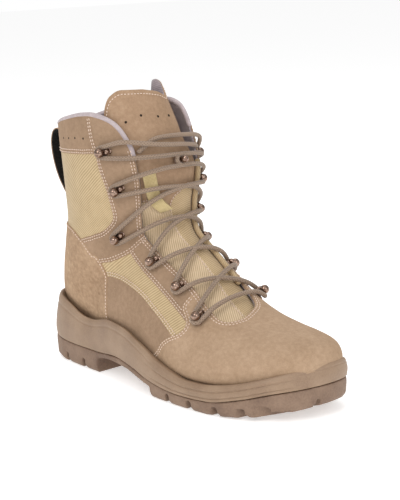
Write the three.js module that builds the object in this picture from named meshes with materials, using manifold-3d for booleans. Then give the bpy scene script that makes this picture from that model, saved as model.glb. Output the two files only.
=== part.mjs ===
// Combat boot for the right foot: lugged outsole, cup midsole, hollow lasted upper, tongue, insole,
// speed hooks, lace, pull loop and lace keeper. Millimetres; +X to the toe, -Y lateral, +Z up.
import * as THREE from "three";
import { mergeVertices } from "three/addons/utils/BufferGeometryUtils.js";
import Module from "manifold-3d";

const wasm = await Module();
wasm.setup();

// ---------------------------------------------------------------- driving sizes
const GAP = 0.35;               // clearance between neighbouring pieces
const WALL = 2.4;               // leather and lining of the upper
const COLLAR_PADDING = 3.2;     // extra wall in the padded collar
const INSOLE_THICKNESS = 4;
const TONGUE_THICKNESS = 5;
const LACE_RADIUS = 1.9;
const LACE_SIDES = 8;
const LASTING_MARGIN = 11;      // inward turn of the upper over the sole
const UPPER_SECTIONS = 28;
const UPPER_SEGMENTS = 24;
const SOLE_STATIONS = 28;
const SOLE_COLUMNS = 3;
const COLLAR_STATIONS = 34;

// Plan outline of the sole at its widest, once round from the heel by the lateral side.
const OUTLINE = [
  { x: -4, y: 0 },
  { x: 1, y: -18 },
  { x: 14, y: -30 },
  { x: 45, y: -36.5 },
  { x: 80, y: -39.5 },
  { x: 115, y: -45 },
  { x: 155, y: -52.5 },
  { x: 200, y: -56.5 },
  { x: 240, y: -54.5 },
  { x: 274, y: -44 },
  { x: 299, y: -22 },
  { x: 309, y: 8 },
  { x: 303, y: 33 },
  { x: 281, y: 47 },
  { x: 240, y: 51.5 },
  { x: 205, y: 48.5 },
  { x: 165, y: 41 },
  { x: 125, y: 36 },
  { x: 80, y: 35 },
  { x: 45, y: 35 },
  { x: 14, y: 29 },
  { x: 1, y: 17 },
];
const TOE_ROW = 11;

// Heights along the sole: ground face, joint between outsole and midsole, and top of the foxing.
const GROUND_LINE = [
  { x: -4, z: 6 },
  { x: 12, z: 1.6 },
  { x: 24, z: 0 },
  { x: 232, z: 0 },
  { x: 262, z: 2 },
  { x: 288, z: 6.5 },
  { x: 309, z: 12 },
];
const JOINT_LINE = [
  { x: -4, z: 24 },
  { x: 40, z: 19.5 },
  { x: 80, z: 19.5 },
  { x: 110, z: 22 },
  { x: 140, z: 19 },
  { x: 165, z: 13.5 },
  { x: 200, z: 10.5 },
  { x: 235, z: 11.5 },
  { x: 262, z: 17 },
  { x: 288, z: 24 },
  { x: 309, z: 28 },
];
const FOXING_LINE = [
  { x: -4, z: 60 },
  { x: 14, z: 59.5 },
  { x: 34, z: 55.5 },
  { x: 62, z: 47 },
  { x: 72, z: 46.5 },
  { x: 98, z: 51 },
  { x: 120, z: 49.5 },
  { x: 147, z: 42 },
  { x: 168, z: 33.5 },
  { x: 190, z: 27 },
  { x: 209, z: 23.5 },
  { x: 229, z: 24 },
  { x: 248, z: 26.5 },
  { x: 268, z: 31 },
  { x: 288, z: 37 },
  { x: 309, z: 43.5 },
];
const ARCH_LINE = [
  { x: 80, z: 13.5 },
  { x: 100, z: 16.5 },
  { x: 125, z: 16 },
  { x: 148, z: 12 },
  { x: 165, z: 8.5 },
];
const HEEL_TUCK_END = 46;       // the back of the foxing leans in over this length
const HEEL_BREAST_X = 80;
const FOREPART_X = 165;

// Sections of the upper, toe to top. front* is the point over the instep or down the shaft front,
// back* the point under the foot or down the heel; lateral and medial are half widths, crest is the
// sideways shift of the front point, wide is how far up the section is widest (0..1), and backPower
// and frontPower square off or sharpen the two ends. Rows past the collar shape the tongue only.
const SECTION_COLUMNS = [
  "frontX", "frontZ", "backX", "backZ", "lateral", "medial",
  "centre", "crest", "wide", "backPower", "frontPower",
];
const SECTIONS = [
  [306.5, 43, 306.5, 40, 2, 2, 9, 0, 0.5, 2, 2],
  [305, 49, 305, 34.5, 15, 13, 9, 0, 0.45, 3, 2.2],
  [300.5, 55.5, 299.5, 30.5, 25, 23, 8, 0, 0.42, 4, 2.4],
  [289, 59, 287, 26.5, 34, 33, 6, 2, 0.4, 5, 2.5],
  [271, 61.5, 268, 23, 42, 40.5, 3, 4, 0.38, 5.5, 2.5],
  [250, 64.5, 245, 20.5, 48, 44.5, 1, 7, 0.36, 5.5, 2.4],
  [230, 70, 218, 19, 50.5, 44.5, 0, 9, 0.33, 5.5, 2.3],
  [211, 81, 190, 19, 49, 42, -1, 10, 0.3, 4.6, 2.2],
  [193, 96.5, 163, 21.5, 45.5, 38, -1, 10, 0.3, 4, 2.15],
  [177, 109, 136, 26, 42, 36, -1, 10, 0.33, 3.6, 2.15],
  [163.5, 119.5, 108, 30, 39, 35, -1, 9, 0.37, 3.4, 2.25],
  [152.5, 128.5, 78, 32, 36, 34, -1, 8, 0.42, 3.2, 2.4],
  [147, 137, 48, 34, 34, 34, 0, 7, 0.46, 2.8, 2.6],
  [145.5, 145.5, 24, 38.5, 35.5, 35, 0, 7, 0.5, 2.4, 2.8],
  [145.5, 154, 7.5, 52, 38, 37, 0, 6, 0.52, 2.1, 2.9],
  [146, 162.5, 7, 74, 40, 39, 0, 6, 0.53, 2, 2.9],
  [146, 171, 12.5, 98, 42, 41, 0, 6, 0.54, 2, 2.9],
  [145.5, 180.5, 18.5, 122, 44, 43, 0, 6, 0.54, 2, 2.9],
  [144, 190.5, 19, 148, 46, 44, 0, 5, 0.54, 2, 2.9],
  [140.5, 202.5, 17, 176, 47, 45, 0, 4, 0.55, 2, 2.9],
  [134, 217.5, 14.5, 206, 47, 46, 0, 3, 0.56, 2, 2.8],
  [126, 234.5, 13, 232, 46, 46, 0, 1, 0.58, 2, 2.6],
  [118, 252, 12, 254, 45, 45, 0, 0, 0.6, 2, 2.4],
].map((row) => Object.fromEntries(SECTION_COLUMNS.map((column, i) => [column, row[i]])));

// Top edge of the shaft from the back seam forward.
const COLLAR_LINE = [
  { x: -20, z: 206 },
  { x: 8, z: 207 },
  { x: 26, z: 213 },
  { x: 52, z: 220.5 },
  { x: 92, z: 227 },
  { x: 105, z: 224.8 },
  { x: 113, z: 221.5 },
  { x: 121, z: 214 },
  { x: 126, z: 206 },
  { x: 130, z: 199 },
  { x: 134, z: 190 },
  { x: 138, z: 175 },
];
const COLLAR_MEDIAL_RISE = 5;

// Edges of the throat opening on the upper, as places round the section; 0.5 is the crest.
const THROAT_EDGES = [
  { row: 6.02, lateral: 0.45, medial: 0.46 },
  { row: 6.08, lateral: 0.43, medial: 0.475 },
  { row: 6.25, lateral: 0.411, medial: 0.497 },
  { row: 6.6, lateral: 0.4, medial: 0.525 },
  { row: 7.2, lateral: 0.399, medial: 0.545 },
  { row: 8.2, lateral: 0.397, medial: 0.56 },
  { row: 9.5, lateral: 0.387, medial: 0.572 },
  { row: 11, lateral: 0.377, medial: 0.582 },
  { row: 12.6, lateral: 0.36, medial: 0.59 },
  { row: 14.4, lateral: 0.372, medial: 0.6 },
  { row: 17, lateral: 0.376, medial: 0.61 },
  { row: 19, lateral: 0.38, medial: 0.625 },
  { row: 22, lateral: 0.38, medial: 0.635 },
];

const COLOURS = {
  nubuck: 0xa68e75,
  textile: 0xb09c6c,
  sole: 0x8f7660,
  lining: 0xa79d9b,
  bronze: 0x5d4a3e,
  lace: 0x93826f,
  webbing: 0xb3a072,
  loop: 0x2a2624,
};

// ---------------------------------------------------------------- tables and curves
/** Monotone cubic through the rows of a table: returns a function of the key column. */
function through(rows, key, value) {
  const xs = rows.map((row) => row[key]);
  const ys = rows.map((row) => row[value]);
  const last = xs.length - 1;
  const slopes = xs.slice(1).map((x, i) => (ys[i + 1] - ys[i]) / (x - xs[i]));
  const tangents = xs.map((_, i) => {
    if (i === 0) return slopes[0];
    if (i === last) return slopes[last - 1];
    const before = slopes[i - 1];
    const after = slopes[i];
    return before * after <= 0 ? 0 : (2 * before * after) / (before + after);
  });
  return (x) => {
    if (x <= xs[0]) return ys[0];
    if (x >= xs[last]) return ys[last];
    let i = 0;
    while (x > xs[i + 1]) i += 1;
    const width = xs[i + 1] - xs[i];
    const u = (x - xs[i]) / width;
    const rise = ys[i] * (1 + 2 * u) * (1 - u) ** 2 + ys[i + 1] * u * u * (3 - 2 * u);
    const turn = width * (tangents[i] * u * (1 - u) ** 2 - tangents[i + 1] * u * u * (1 - u));
    return rise + turn;
  };
}

const groundZ = through(GROUND_LINE, "x", "z");
const jointZ = through(JOINT_LINE, "x", "z");
const foxingZ = through(FOXING_LINE, "x", "z");
const archZ = through(ARCH_LINE, "x", "z");
const collarZ = through(COLLAR_LINE, "x", "z");
const throatLateral = through(THROAT_EDGES, "row", "lateral");
const throatMedial = through(THROAT_EDGES, "row", "medial");

const lerp = THREE.MathUtils.lerp;
const smoothstep = THREE.MathUtils.smoothstep;

// ---------------------------------------------------------------- solids
/** Collects triangles of one closed body. */
class Body {
  constructor() {
    this.positions = [];
  }

  triangle(a, b, c) {
    this.positions.push(a.x, a.y, a.z, b.x, b.y, b.z, c.x, c.y, c.z);
  }

  quad(a, b, c, d) {
    this.triangle(a, b, c);
    this.triangle(a, c, d);
  }

  /** Skins a grid of points; rows wrap round when closed is true. */
  skin(rows, closed) {
    for (let i = 0; i + 1 < rows.length; i += 1) {
      const count = rows[i].length;
      for (let j = 0; j < (closed ? count : count - 1); j += 1) {
        const next = (j + 1) % count;
        this.quad(rows[i][j], rows[i][next], rows[i + 1][next], rows[i + 1][j]);
      }
    }
  }

  /** Closes a ring with a fan round its middle. */
  cap(ring, reversed) {
    const middle = ring.reduce((sum, p) => sum.add(p), new THREE.Vector3()).divideScalar(ring.length);
    ring.forEach((point, j) => {
      const next = ring[(j + 1) % ring.length];
      if (reversed) this.triangle(middle, next, point);
      else this.triangle(middle, point, next);
    });
  }

  /** Closes the space between two grids of points of the same shape. */
  between(face, back) {
    const rim = (grid) => [
      ...grid[0],
      ...grid.slice(1, -1).map((row) => row.at(-1)),
      ...[...grid.at(-1)].reverse(),
      ...grid.slice(1, -1).map((row) => row[0]).reverse(),
    ];
    this.skin(face, false);
    this.skin(back.map((row) => [...row].reverse()), false);
    this.skin([rim(back), rim(face)], true);
  }

  solid() {
    const geometry = new THREE.BufferGeometry();
    geometry.setAttribute("position", new THREE.Float32BufferAttribute(this.positions, 3));
    return toSolid(geometry);
  }
}

/** Turns a geometry into a closed solid facing out. */
function toSolid(geometry) {
  const bare = geometry.clone();
  bare.deleteAttribute("normal");
  bare.deleteAttribute("uv");
  const merged = mergeVertices(bare, 1e-4);
  const position = merged.getAttribute("position");
  const index = Array.from(merged.index.array);
  const kept = [];
  let volume = 0;
  const a = new THREE.Vector3();
  const b = new THREE.Vector3();
  const c = new THREE.Vector3();
  for (let i = 0; i < index.length; i += 3) {
    const [p, q, r] = index.slice(i, i + 3);
    if (p === q || q === r || r === p) continue;
    a.fromBufferAttribute(position, p);
    b.fromBufferAttribute(position, q);
    c.fromBufferAttribute(position, r);
    volume += a.dot(b.cross(c));
    kept.push(p, q, r);
  }
  if (volume < 0) {
    for (let i = 0; i < kept.length; i += 3) {
      [kept[i + 1], kept[i + 2]] = [kept[i + 2], kept[i + 1]];
    }
  }
  return new wasm.Manifold(
    new wasm.Mesh({
      numProp: 3,
      vertProperties: new Float32Array(position.array),
      triVerts: new Uint32Array(kept),
    }),
  );
}

/** Moves a geometry into place and makes it a solid. */
function placed(geometry, position, direction) {
  const turn = new THREE.Quaternion().setFromUnitVectors(new THREE.Vector3(0, 1, 0), direction);
  const matrix = new THREE.Matrix4().compose(position, turn, new THREE.Vector3(1, 1, 1));
  return toSolid(geometry.clone().applyMatrix4(matrix));
}

const union = (solids) => solids.reduce((sum, solid) => sum.add(solid));

// ---------------------------------------------------------------- sole
const outlineCurve = new THREE.CatmullRomCurve3(
  OUTLINE.map((row) => new THREE.Vector3(row.x, row.y, 0)),
  true,
  "centripetal",
);

/** Point of the outline at curve parameter u, moved outward in plan. */
function outlinePoint(u, outset) {
  const point = outlineCurve.getPoint(u);
  const step = 1e-3;
  const before = outlineCurve.getPoint((u - step + 1) % 1);
  const after = outlineCurve.getPoint((u + step) % 1);
  const along = after.sub(before).normalize();
  return new THREE.Vector3(point.x - along.y * -outset, point.y - along.x * outset, 0);
}

/** Lateral and medial halves of the outline, station by station from heel to toe. */
function outlineHalves(outset) {
  const toe = TOE_ROW / OUTLINE.length;
  const lateral = [];
  const medial = [];
  for (let i = 0; i <= SOLE_STATIONS; i += 1) {
    const share = (1 - Math.cos((Math.PI * i) / SOLE_STATIONS)) / 2;
    const along = lerp(i / SOLE_STATIONS, share, 0.35);
    lateral.push(outlinePoint(toe * along, outset));
    medial.push(outlinePoint((1 - (1 - toe) * along) % 1, outset));
  }
  return { lateral, medial };
}

/** Closed body whose rings follow the outline; each level gives an outset, height and heel tuck. */
function soleStack(levels) {
  const body = new Body();
  const halves = levels.map((level) => {
    const { lateral, medial } = outlineHalves(level.outset);
    for (const point of [...lateral, ...medial]) {
      point.z = level.height(point.x);
      point.x += (level.heelTuck ?? 0) * (1 - smoothstep(point.x, -4, HEEL_TUCK_END));
    }
    return { lateral, medial };
  });
  const rings = halves.map(({ lateral, medial }) => [...lateral, ...medial.slice(1, -1).reverse()]);
  body.skin(rings, true);
  const capRows = ({ lateral, medial }, height) =>
    lateral.map((start, i) =>
      Array.from({ length: SOLE_COLUMNS + 1 }, (_, j) => {
        const point = start.clone().lerp(medial[i], j / SOLE_COLUMNS);
        if (j > 0 && j < SOLE_COLUMNS) point.z = height(point.x);
        return point;
      }),
    );
  const bottom = capRows(halves[0], levels[0].height);
  const top = capRows(halves.at(-1), levels.at(-1).height).map((row) => [...row].reverse());
  body.skin(bottom, false);
  body.skin(top, false);
  return body.solid();
}

const LUG_DRAFT = 0.8;    // extra half width of a gap at the ground
const LUG_ROOT = 0.38;    // half width of a gap at its root, as a share of its width

/** Wedge that cuts one gap between lugs: wide at the ground, narrow at its root. */
function lugGap(x, y, angle, length, width, depth) {
  const base = groundZ(x);
  const shape = new THREE.Shape([
    new THREE.Vector2(-width / 2 - LUG_DRAFT, -3),
    new THREE.Vector2(width / 2 + LUG_DRAFT, -3),
    new THREE.Vector2(width * LUG_ROOT, depth),
    new THREE.Vector2(-width * LUG_ROOT, depth),
  ]);
  const wedge = new THREE.ExtrudeGeometry(shape, { depth: length, bevelEnabled: false });
  const matrix = new THREE.Matrix4()
    .makeTranslation(x, y, base)
    .multiply(new THREE.Matrix4().makeRotationZ(angle))
    .multiply(new THREE.Matrix4().makeRotationX(Math.PI / 2))
    .multiply(new THREE.Matrix4().makeTranslation(0, 0, -length / 2));
  return toSolid(wedge.applyMatrix4(matrix));
}

// Gaps between lugs: place along the sole, side of the centre line, turn in plan, length, width, depth.
const LUG_GAPS = [
  { x: 10, y: -24, turn: -52, length: 22, width: 4.5, depth: 8 },
  { x: 33, y: -32, turn: -14, length: 26, width: 5, depth: 9 },
  { x: 59, y: -34, turn: 0, length: 26, width: 5, depth: 9 },
  { x: 10, y: 23, turn: 52, length: 22, width: 4.5, depth: 8 },
  { x: 33, y: 31, turn: 10, length: 26, width: 5, depth: 9 },
  { x: 59, y: 32, turn: 0, length: 26, width: 5, depth: 9 },
  { x: 188, y: -54, turn: 6, length: 34, width: 5, depth: 8 },
  { x: 214, y: -55, turn: 2, length: 34, width: 6, depth: 8 },
  { x: 241, y: -52, turn: -8, length: 34, width: 6, depth: 8 },
  { x: 265, y: -44, turn: -22, length: 32, width: 6, depth: 8 },
  { x: 284, y: -33, turn: -40, length: 28, width: 5, depth: 8 },
  { x: 186, y: 40, turn: -8, length: 28, width: 5, depth: 8 },
  { x: 212, y: 45, turn: -4, length: 30, width: 6, depth: 8 },
  { x: 238, y: 47, turn: 2, length: 32, width: 6, depth: 8 },
  { x: 263, y: 45, turn: 12, length: 30, width: 6, depth: 8 },
  { x: 289, y: 37, turn: 34, length: 28, width: 5, depth: 8 },
  { x: 302, y: -4, turn: -80, length: 20, width: 4.5, depth: 7 },
];
const CENTRE_CHANNELS = [
  { x: 48, y: 0, turn: 0, length: 22, width: 5, depth: 5 },
  { x: 180, y: -5, turn: 0, length: 44, width: 5, depth: 5 },
  { x: 204, y: -5, turn: 0, length: 46, width: 5, depth: 5 },
  { x: 228, y: -4, turn: 0, length: 46, width: 5, depth: 5 },
  { x: 252, y: 0, turn: 0, length: 42, width: 5, depth: 5 },
];

function makeOutsole() {
  const block = soleStack([
    { outset: -3.2, height: (x) => groundZ(x) },
    { outset: -0.6, height: (x) => groundZ(x) + 3 },
    { outset: 0, height: (x) => lerp(groundZ(x), jointZ(x), 0.7) },
    { outset: -0.4, height: (x) => jointZ(x) - GAP - 0.25 },
  ]);
  const archShape = new THREE.Shape();
  archShape.moveTo(HEEL_BREAST_X, -20);
  archShape.lineTo(HEEL_BREAST_X, archZ(HEEL_BREAST_X) - 2);
  const steps = 10;
  for (let i = 0; i <= steps; i += 1) {
    const x = lerp(HEEL_BREAST_X + 2, FOREPART_X, i / steps);
    archShape.lineTo(x, archZ(x));
  }
  archShape.lineTo(FOREPART_X, -20);
  const width = 160;
  const arch = new THREE.ExtrudeGeometry(archShape, { depth: width, bevelEnabled: false });
  arch.rotateX(Math.PI / 2);
  arch.translate(0, width / 2, 0);
  const cuts = [...LUG_GAPS, ...CENTRE_CHANNELS].map((gap) =>
    lugGap(gap.x, gap.y, THREE.MathUtils.degToRad(gap.turn), gap.length, gap.width, gap.depth),
  );
  return block.subtract(toSolid(arch)).subtract(union(cuts));
}

function makeMidsole(lasted) {
  const rise = (share) => (x) => lerp(jointZ(x), foxingZ(x), share);
  const block = soleStack([
    { outset: -1.6, height: rise(0) },
    { outset: 0.2, height: rise(0.12) },
    { outset: 0.6, height: rise(0.4), heelTuck: 2 },
    { outset: -0.2, height: rise(0.72), heelTuck: 4 },
    { outset: -1.3, height: rise(0.93), heelTuck: 5 },
    { outset: -2.2, height: rise(1), heelTuck: 5.5 },
  ]);
  return block.subtract(lasted);
}

// ---------------------------------------------------------------- upper
const LAST_ROW = SECTIONS.length - 1;
const rowed = SECTIONS.map((section, row) => ({ ...section, row }));
const sectionCurves = Object.fromEntries(
  Object.keys(SECTIONS[0]).map((key) => [key, smoothThrough(rowed, key)]),
);

/** Catmull-Rom through a column of the section table, as a function of the row number. */
function smoothThrough(rows, key) {
  const at = (i) => rows[Math.min(Math.max(i, 0), rows.length - 1)][key];
  return (row) => {
    const i = Math.min(Math.floor(row), rows.length - 2);
    const u = row - i;
    const [p, q, r, s] = [at(i - 1), at(i), at(i + 1), at(i + 2)];
    return q + 0.5 * u * (r - p + u * (2 * p - 5 * q + 4 * r - s + u * (3 * (q - r) + s - p)));
  };
}

/** All section sizes at a row position. */
function sectionAt(row) {
  return Object.fromEntries(Object.entries(sectionCurves).map(([key, curve]) => [key, curve(row)]));
}

/**
 * Point on the outside of the upper. turn runs 0..1 round the section: back, lateral, front, medial.
 */
function surfacePoint(row, turn) {
  const section = sectionAt(row);
  const angle = 2 * Math.PI * turn;
  const forward = -Math.cos(angle);
  const side = Math.sin(angle);
  const power = 2 / (forward < 0 ? section.backPower : section.frontPower);
  const reach = Math.abs(forward) ** power;
  const along = forward < 0 ? section.wide * (1 - reach) : section.wide + (1 - section.wide) * reach;
  const half = side > 0 ? section.lateral : section.medial;
  const sideways = -Math.sign(side) * half * Math.abs(side) ** power;
  const lean = section.crest * smoothstep(along, section.wide, 1);
  return new THREE.Vector3(
    lerp(section.backX, section.frontX, along),
    section.centre + sideways + lean,
    lerp(section.backZ, section.frontZ, along),
  );
}

/** Point on the upper moved outward (positive) or inward (negative) along the surface normal. */
function upperPoint(row, turn, offset) {
  const point = surfacePoint(row, turn);
  const dRow = 0.04;
  const dTurn = 0.004;
  const low = Math.max(row - dRow, 0);
  const high = Math.min(row + dRow, LAST_ROW);
  const alongRow = surfacePoint(high, turn).sub(surfacePoint(low, turn));
  const alongTurn = surfacePoint(row, turn + dTurn).sub(surfacePoint(row, turn - dTurn));
  const normal = alongTurn.cross(alongRow).normalize();
  return point.addScaledVector(normal, offset);
}

/** Wall thickness: thicker in the padded collar away from the throat. */
function wallAt(row, turn) {
  const height = smoothstep(surfacePoint(row, turn).z, 186, 206);
  const fromThroat = smoothstep(Math.abs(turn - 0.5), 0.14, 0.24);
  return WALL + COLLAR_PADDING * height * fromThroat;
}

/** Closed body on the upper's surface, between two rows, at an offset given point by point. */
function loftedUpper(offsetAt, firstRow) {
  const body = new Body();
  const rings = [];
  for (let i = 0; i <= UPPER_SECTIONS; i += 1) {
    const row = lerp(firstRow, LAST_ROW, i / UPPER_SECTIONS);
    const ring = [];
    for (let j = 0; j < UPPER_SEGMENTS; j += 1) {
      const turn = j / UPPER_SEGMENTS;
      ring.push(upperPoint(row, turn, offsetAt(row, turn)));
    }
    rings.push(ring);
  }
  body.skin(rings, true);
  body.cap(rings[0], true);
  body.cap(rings.at(-1), false);
  return body.solid();
}

/** Block that removes everything above the collar line; the line is raised on the medial side. */
function collarCutter() {
  const body = new Body();
  const top = 300;
  const behind = -40;
  const pastShaft = 150;
  const pastToe = 330;
  const stations = Array.from({ length: COLLAR_STATIONS + 1 }, (_, i) =>
    lerp(behind, pastShaft, i / COLLAR_STATIONS),
  );
  stations.push(pastToe);
  const across = [-70, -12, 0, 12, 70];
  const rise = (y) => COLLAR_MEDIAL_RISE * smoothstep(y, -10, 30);
  const grid = (height) => stations.map((x) => across.map((y) => new THREE.Vector3(x, y, height(x, y))));
  body.between(grid((x, y) => collarZ(x) + rise(y)), grid(() => top));
  return body.solid();
}

/** Slot down the front of the shaft and instep, rounded at its lower end. */
function throatCutter() {
  const body = new Body();
  const steps = 36;
  const across = 4;
  const depth = 9;
  const height = 12;
  const firstRow = THROAT_EDGES[0].row;
  const rings = [];
  for (let i = 0; i <= steps; i += 1) {
    const row = lerp(firstRow, LAST_ROW, (i / steps) ** 1.7);
    const turns = Array.from({ length: across + 1 }, (_, j) =>
      lerp(throatLateral(row), throatMedial(row), j / across),
    );
    const inner = turns.map((turn) => upperPoint(row, turn, -depth));
    const outer = turns.map((turn) => upperPoint(row, turn, height));
    rings.push([...inner, ...outer.reverse()]);
  }
  body.skin(rings, true);
  body.cap(rings[0], true);
  body.cap(rings.at(-1), false);
  return body.solid();
}

/** Upright prism inside the lasting margin, which opens the underside of the upper. */
function bottomCutter() {
  const { lateral, medial } = outlineHalves(-LASTING_MARGIN - 5);
  const ring = [...lateral, ...medial.slice(1, -1).reverse()];
  const body = new Body();
  const low = ring.map((point) => new THREE.Vector3(point.x, point.y, -10));
  const high = ring.map((point) => new THREE.Vector3(point.x, point.y, floorZ(point.x) + WALL + 1));
  body.skin([low, high], true);
  body.cap(low, true);
  body.cap(high, false);
  return body.solid();
}

/** Height of the underside of the upper along the boot. */
function floorZ(x) {
  let best = SECTIONS[1].backZ;
  let distance = Infinity;
  for (let row = 1; row <= 14; row += 0.1) {
    const point = surfacePoint(row, 0);
    if (Math.abs(point.x - x) < distance) {
      distance = Math.abs(point.x - x);
      best = point.z;
    }
  }
  return best;
}

function makeUpper() {
  const outside = loftedUpper(() => 0, 0);
  const inside = loftedUpper((row, turn) => -wallAt(row, turn), 0.9);
  const shell = outside.subtract(collarCutter()).subtract(inside);
  return shell.subtract(throatCutter()).subtract(bottomCutter());
}

// ---------------------------------------------------------------- insole and tongue
function makeInsole() {
  const cavity = loftedUpper((row, turn) => -wallAt(row, turn) - GAP, 0.9);
  const slab = soleStack([
    { outset: 4, height: (x) => floorZ(x) + WALL + GAP },
    { outset: 4, height: (x) => floorZ(x) + WALL + GAP + INSOLE_THICKNESS },
  ]);
  return slab.intersect(cavity);
}

// Edges of the tongue as places round the section, and the height of its top edge by row.
const TONGUE_START = 5.75;
const TONGUE_EDGES = [
  { row: 5.7, lateral: 0.43, medial: 0.5 },
  { row: 6.2, lateral: 0.39, medial: 0.53 },
  { row: 8, lateral: 0.37, medial: 0.578 },
  { row: 10, lateral: 0.362, medial: 0.595 },
  { row: 13, lateral: 0.345, medial: 0.615 },
  { row: 17, lateral: 0.345, medial: 0.635 },
  { row: 19, lateral: 0.33, medial: 0.67 },
  { row: 20.5, lateral: 0.3, medial: 0.72 },
  { row: 22, lateral: 0.3, medial: 0.72 },
];
const TONGUE_TOP = [
  { across: -1, row: 20.3 },
  { across: -0.88, row: 21.05 },
  { across: -0.76, row: 21.4 },
  { across: -0.52, row: 21.68 },
  { across: -0.23, row: 21.66 },
  { across: -0.05, row: 21.5 },
  { across: 0.12, row: 21.36 },
  { across: 0.3, row: 21.38 },
  { across: 0.45, row: 21.6 },
  { across: 0.62, row: 21.86 },
  { across: 0.78, row: 21.7 },
  { across: 0.92, row: 21.2 },
  { across: 1, row: 20.5 },
];
const tongueLateral = through(TONGUE_EDGES, "row", "lateral");
const tongueMedial = through(TONGUE_EDGES, "row", "medial");
const tongueTop = through(TONGUE_TOP, "across", "row");
const TONGUE_CLEARANCE = 1.8;    // room between the tongue and the inside of the upper

const TONGUE_MEDIAL_INSET = 6;   // the top of the tongue stands off the medial side of the shaft

/** Extra depth of the tongue below the wall, at its top on the medial side. */
function medialInset(row, turn) {
  return TONGUE_MEDIAL_INSET * smoothstep(row, 17.5, 19.6) * smoothstep(turn, 0.51, 0.6);
}

/** Point of the tongue: rise 0..1 up it, across -1..1 from lateral to medial, depth below its face. */
function tonguePoint(rise, across, depth) {
  const row = lerp(TONGUE_START, tongueTop(across), rise);
  const turn = lerp(tongueLateral(row), tongueMedial(row), (across + 1) / 2);
  return upperPoint(row, turn, -wallAt(row, turn) - TONGUE_CLEARANCE - medialInset(row, turn) - depth);
}

function makeTongue() {
  const body = new Body();
  const rises = 18;
  const columns = 10;
  const face = [];
  const back = [];
  for (let i = 0; i <= rises; i += 1) {
    const faceRow = [];
    const backRow = [];
    for (let j = 0; j <= columns; j += 1) {
      const across = lerp(-1, 1, j / columns);
      const edge = Math.max(Math.abs(across), 1 - Math.min(i, rises - i) / 1.5);
      const thickness = lerp(TONGUE_THICKNESS, 1.6, smoothstep(edge, 0.72, 1));
      faceRow.push(tonguePoint(i / rises, across, 0));
      backRow.push(tonguePoint(i / rises, across, thickness));
    }
    face.push(faceRow);
    back.push(backRow);
  }
  body.between(face, back);
  return body.solid();
}

// ---------------------------------------------------------------- straps
/** Flat strap swept along a path of points, each with the direction across the strap. */
function strap(path, across, width, thickness) {
  const body = new Body();
  const rings = path.map((point, i) => {
    const before = path[Math.max(i - 1, 0)];
    const after = path[Math.min(i + 1, path.length - 1)];
    const out = after.clone().sub(before).cross(across).normalize();
    const corner = (side, layer) =>
      point.clone().addScaledVector(across, (side * width) / 2).addScaledVector(out, (layer * thickness) / 2);
    return [corner(-1, -1), corner(1, -1), corner(1, 1), corner(-1, 1)];
  });
  body.skin(rings, true);
  body.cap(rings[0], true);
  body.cap(rings.at(-1), false);
  return body.solid();
}

const PULL_LOOP_WIDTH = 26;
const PULL_LOOP_THICKNESS = 2;
const PULL_LOOP_PATH = [
  { x: 10.5, z: 202 },
  { x: 5, z: 204.5 },
  { x: 0, z: 202 },
  { x: -2.8, z: 195 },
  { x: -2.6, z: 185 },
  { x: 0.5, z: 173 },
  { x: 6, z: 161 },
  { x: 12.5, z: 152 },
  { x: 17.5, z: 146 },
];

function makePullLoop(lasted) {
  const curve = new THREE.CatmullRomCurve3(PULL_LOOP_PATH.map((row) => new THREE.Vector3(row.x, 0, row.z)));
  const loop = strap(curve.getPoints(24), new THREE.Vector3(0, 1, 0), PULL_LOOP_WIDTH, PULL_LOOP_THICKNESS);
  return loop.subtract(lasted);
}

// Webbing keeper on the tongue: section rows and places round the section that it covers.
const KEEPER = { lowRow: 15.2, highRow: 17, lateral: 0.378, medial: 0.434, thickness: 1.2, bulge: 0.5 };

function makeLaceKeeper() {
  const body = new Body();
  const rises = 8;
  const columns = 4;
  const tongueFace = -WALL - TONGUE_CLEARANCE;
  const grid = (level) =>
    Array.from({ length: rises + 1 }, (_, i) =>
      Array.from({ length: columns + 1 }, (_unused, j) => {
        const row = lerp(KEEPER.lowRow, KEEPER.highRow, i / rises);
        const turn = lerp(KEEPER.lateral, KEEPER.medial, j / columns);
        const bulge = KEEPER.bulge * Math.sin((Math.PI * i) / rises);
        return upperPoint(row, turn, tongueFace + GAP + 0.2 + bulge + level);
      }),
    );
  body.between(grid(KEEPER.thickness), grid(0));
  return body.solid();
}

// ---------------------------------------------------------------- hooks
// Hook seats, top pair first: section row and place round the section on each side.
const HOOKS = [
  { lateralRow: 19.05, lateralTurn: 0.296, medialRow: 18.3, medialTurn: 0.675 },
  { lateralRow: 16.85, lateralTurn: 0.31, medialRow: 16.6, medialTurn: 0.665 },
  { lateralRow: 13.7, lateralTurn: 0.3, medialRow: 14.1, medialTurn: 0.65 },
  { lateralRow: 10.45, lateralTurn: 0.354, medialRow: 11.2, medialTurn: 0.63 },
  { lateralRow: 8.6, lateralTurn: 0.366, medialRow: 8.9, medialTurn: 0.615 },
  { lateralRow: 7.1, lateralTurn: 0.358, medialRow: 7.15, medialTurn: 0.6 },
];
const TONGUE_HOOK = { row: 17.7, turn: 0.502, neck: 1.5, seatHeight: 0.9, ball: 3, stand: 9.6 };
const HOOK = { seat: 4.4, seatHeight: 1.2, neck: 1.5, stand: 7.6, ball: 3.3 };
const HOOK_STUD = { reach: 5.2, seat: 2.4, radius: 1, stand: 4 };    // small stud on the throat side
const HOOK_SIDES = 6;
const BALL_BANDS = 4;

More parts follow.
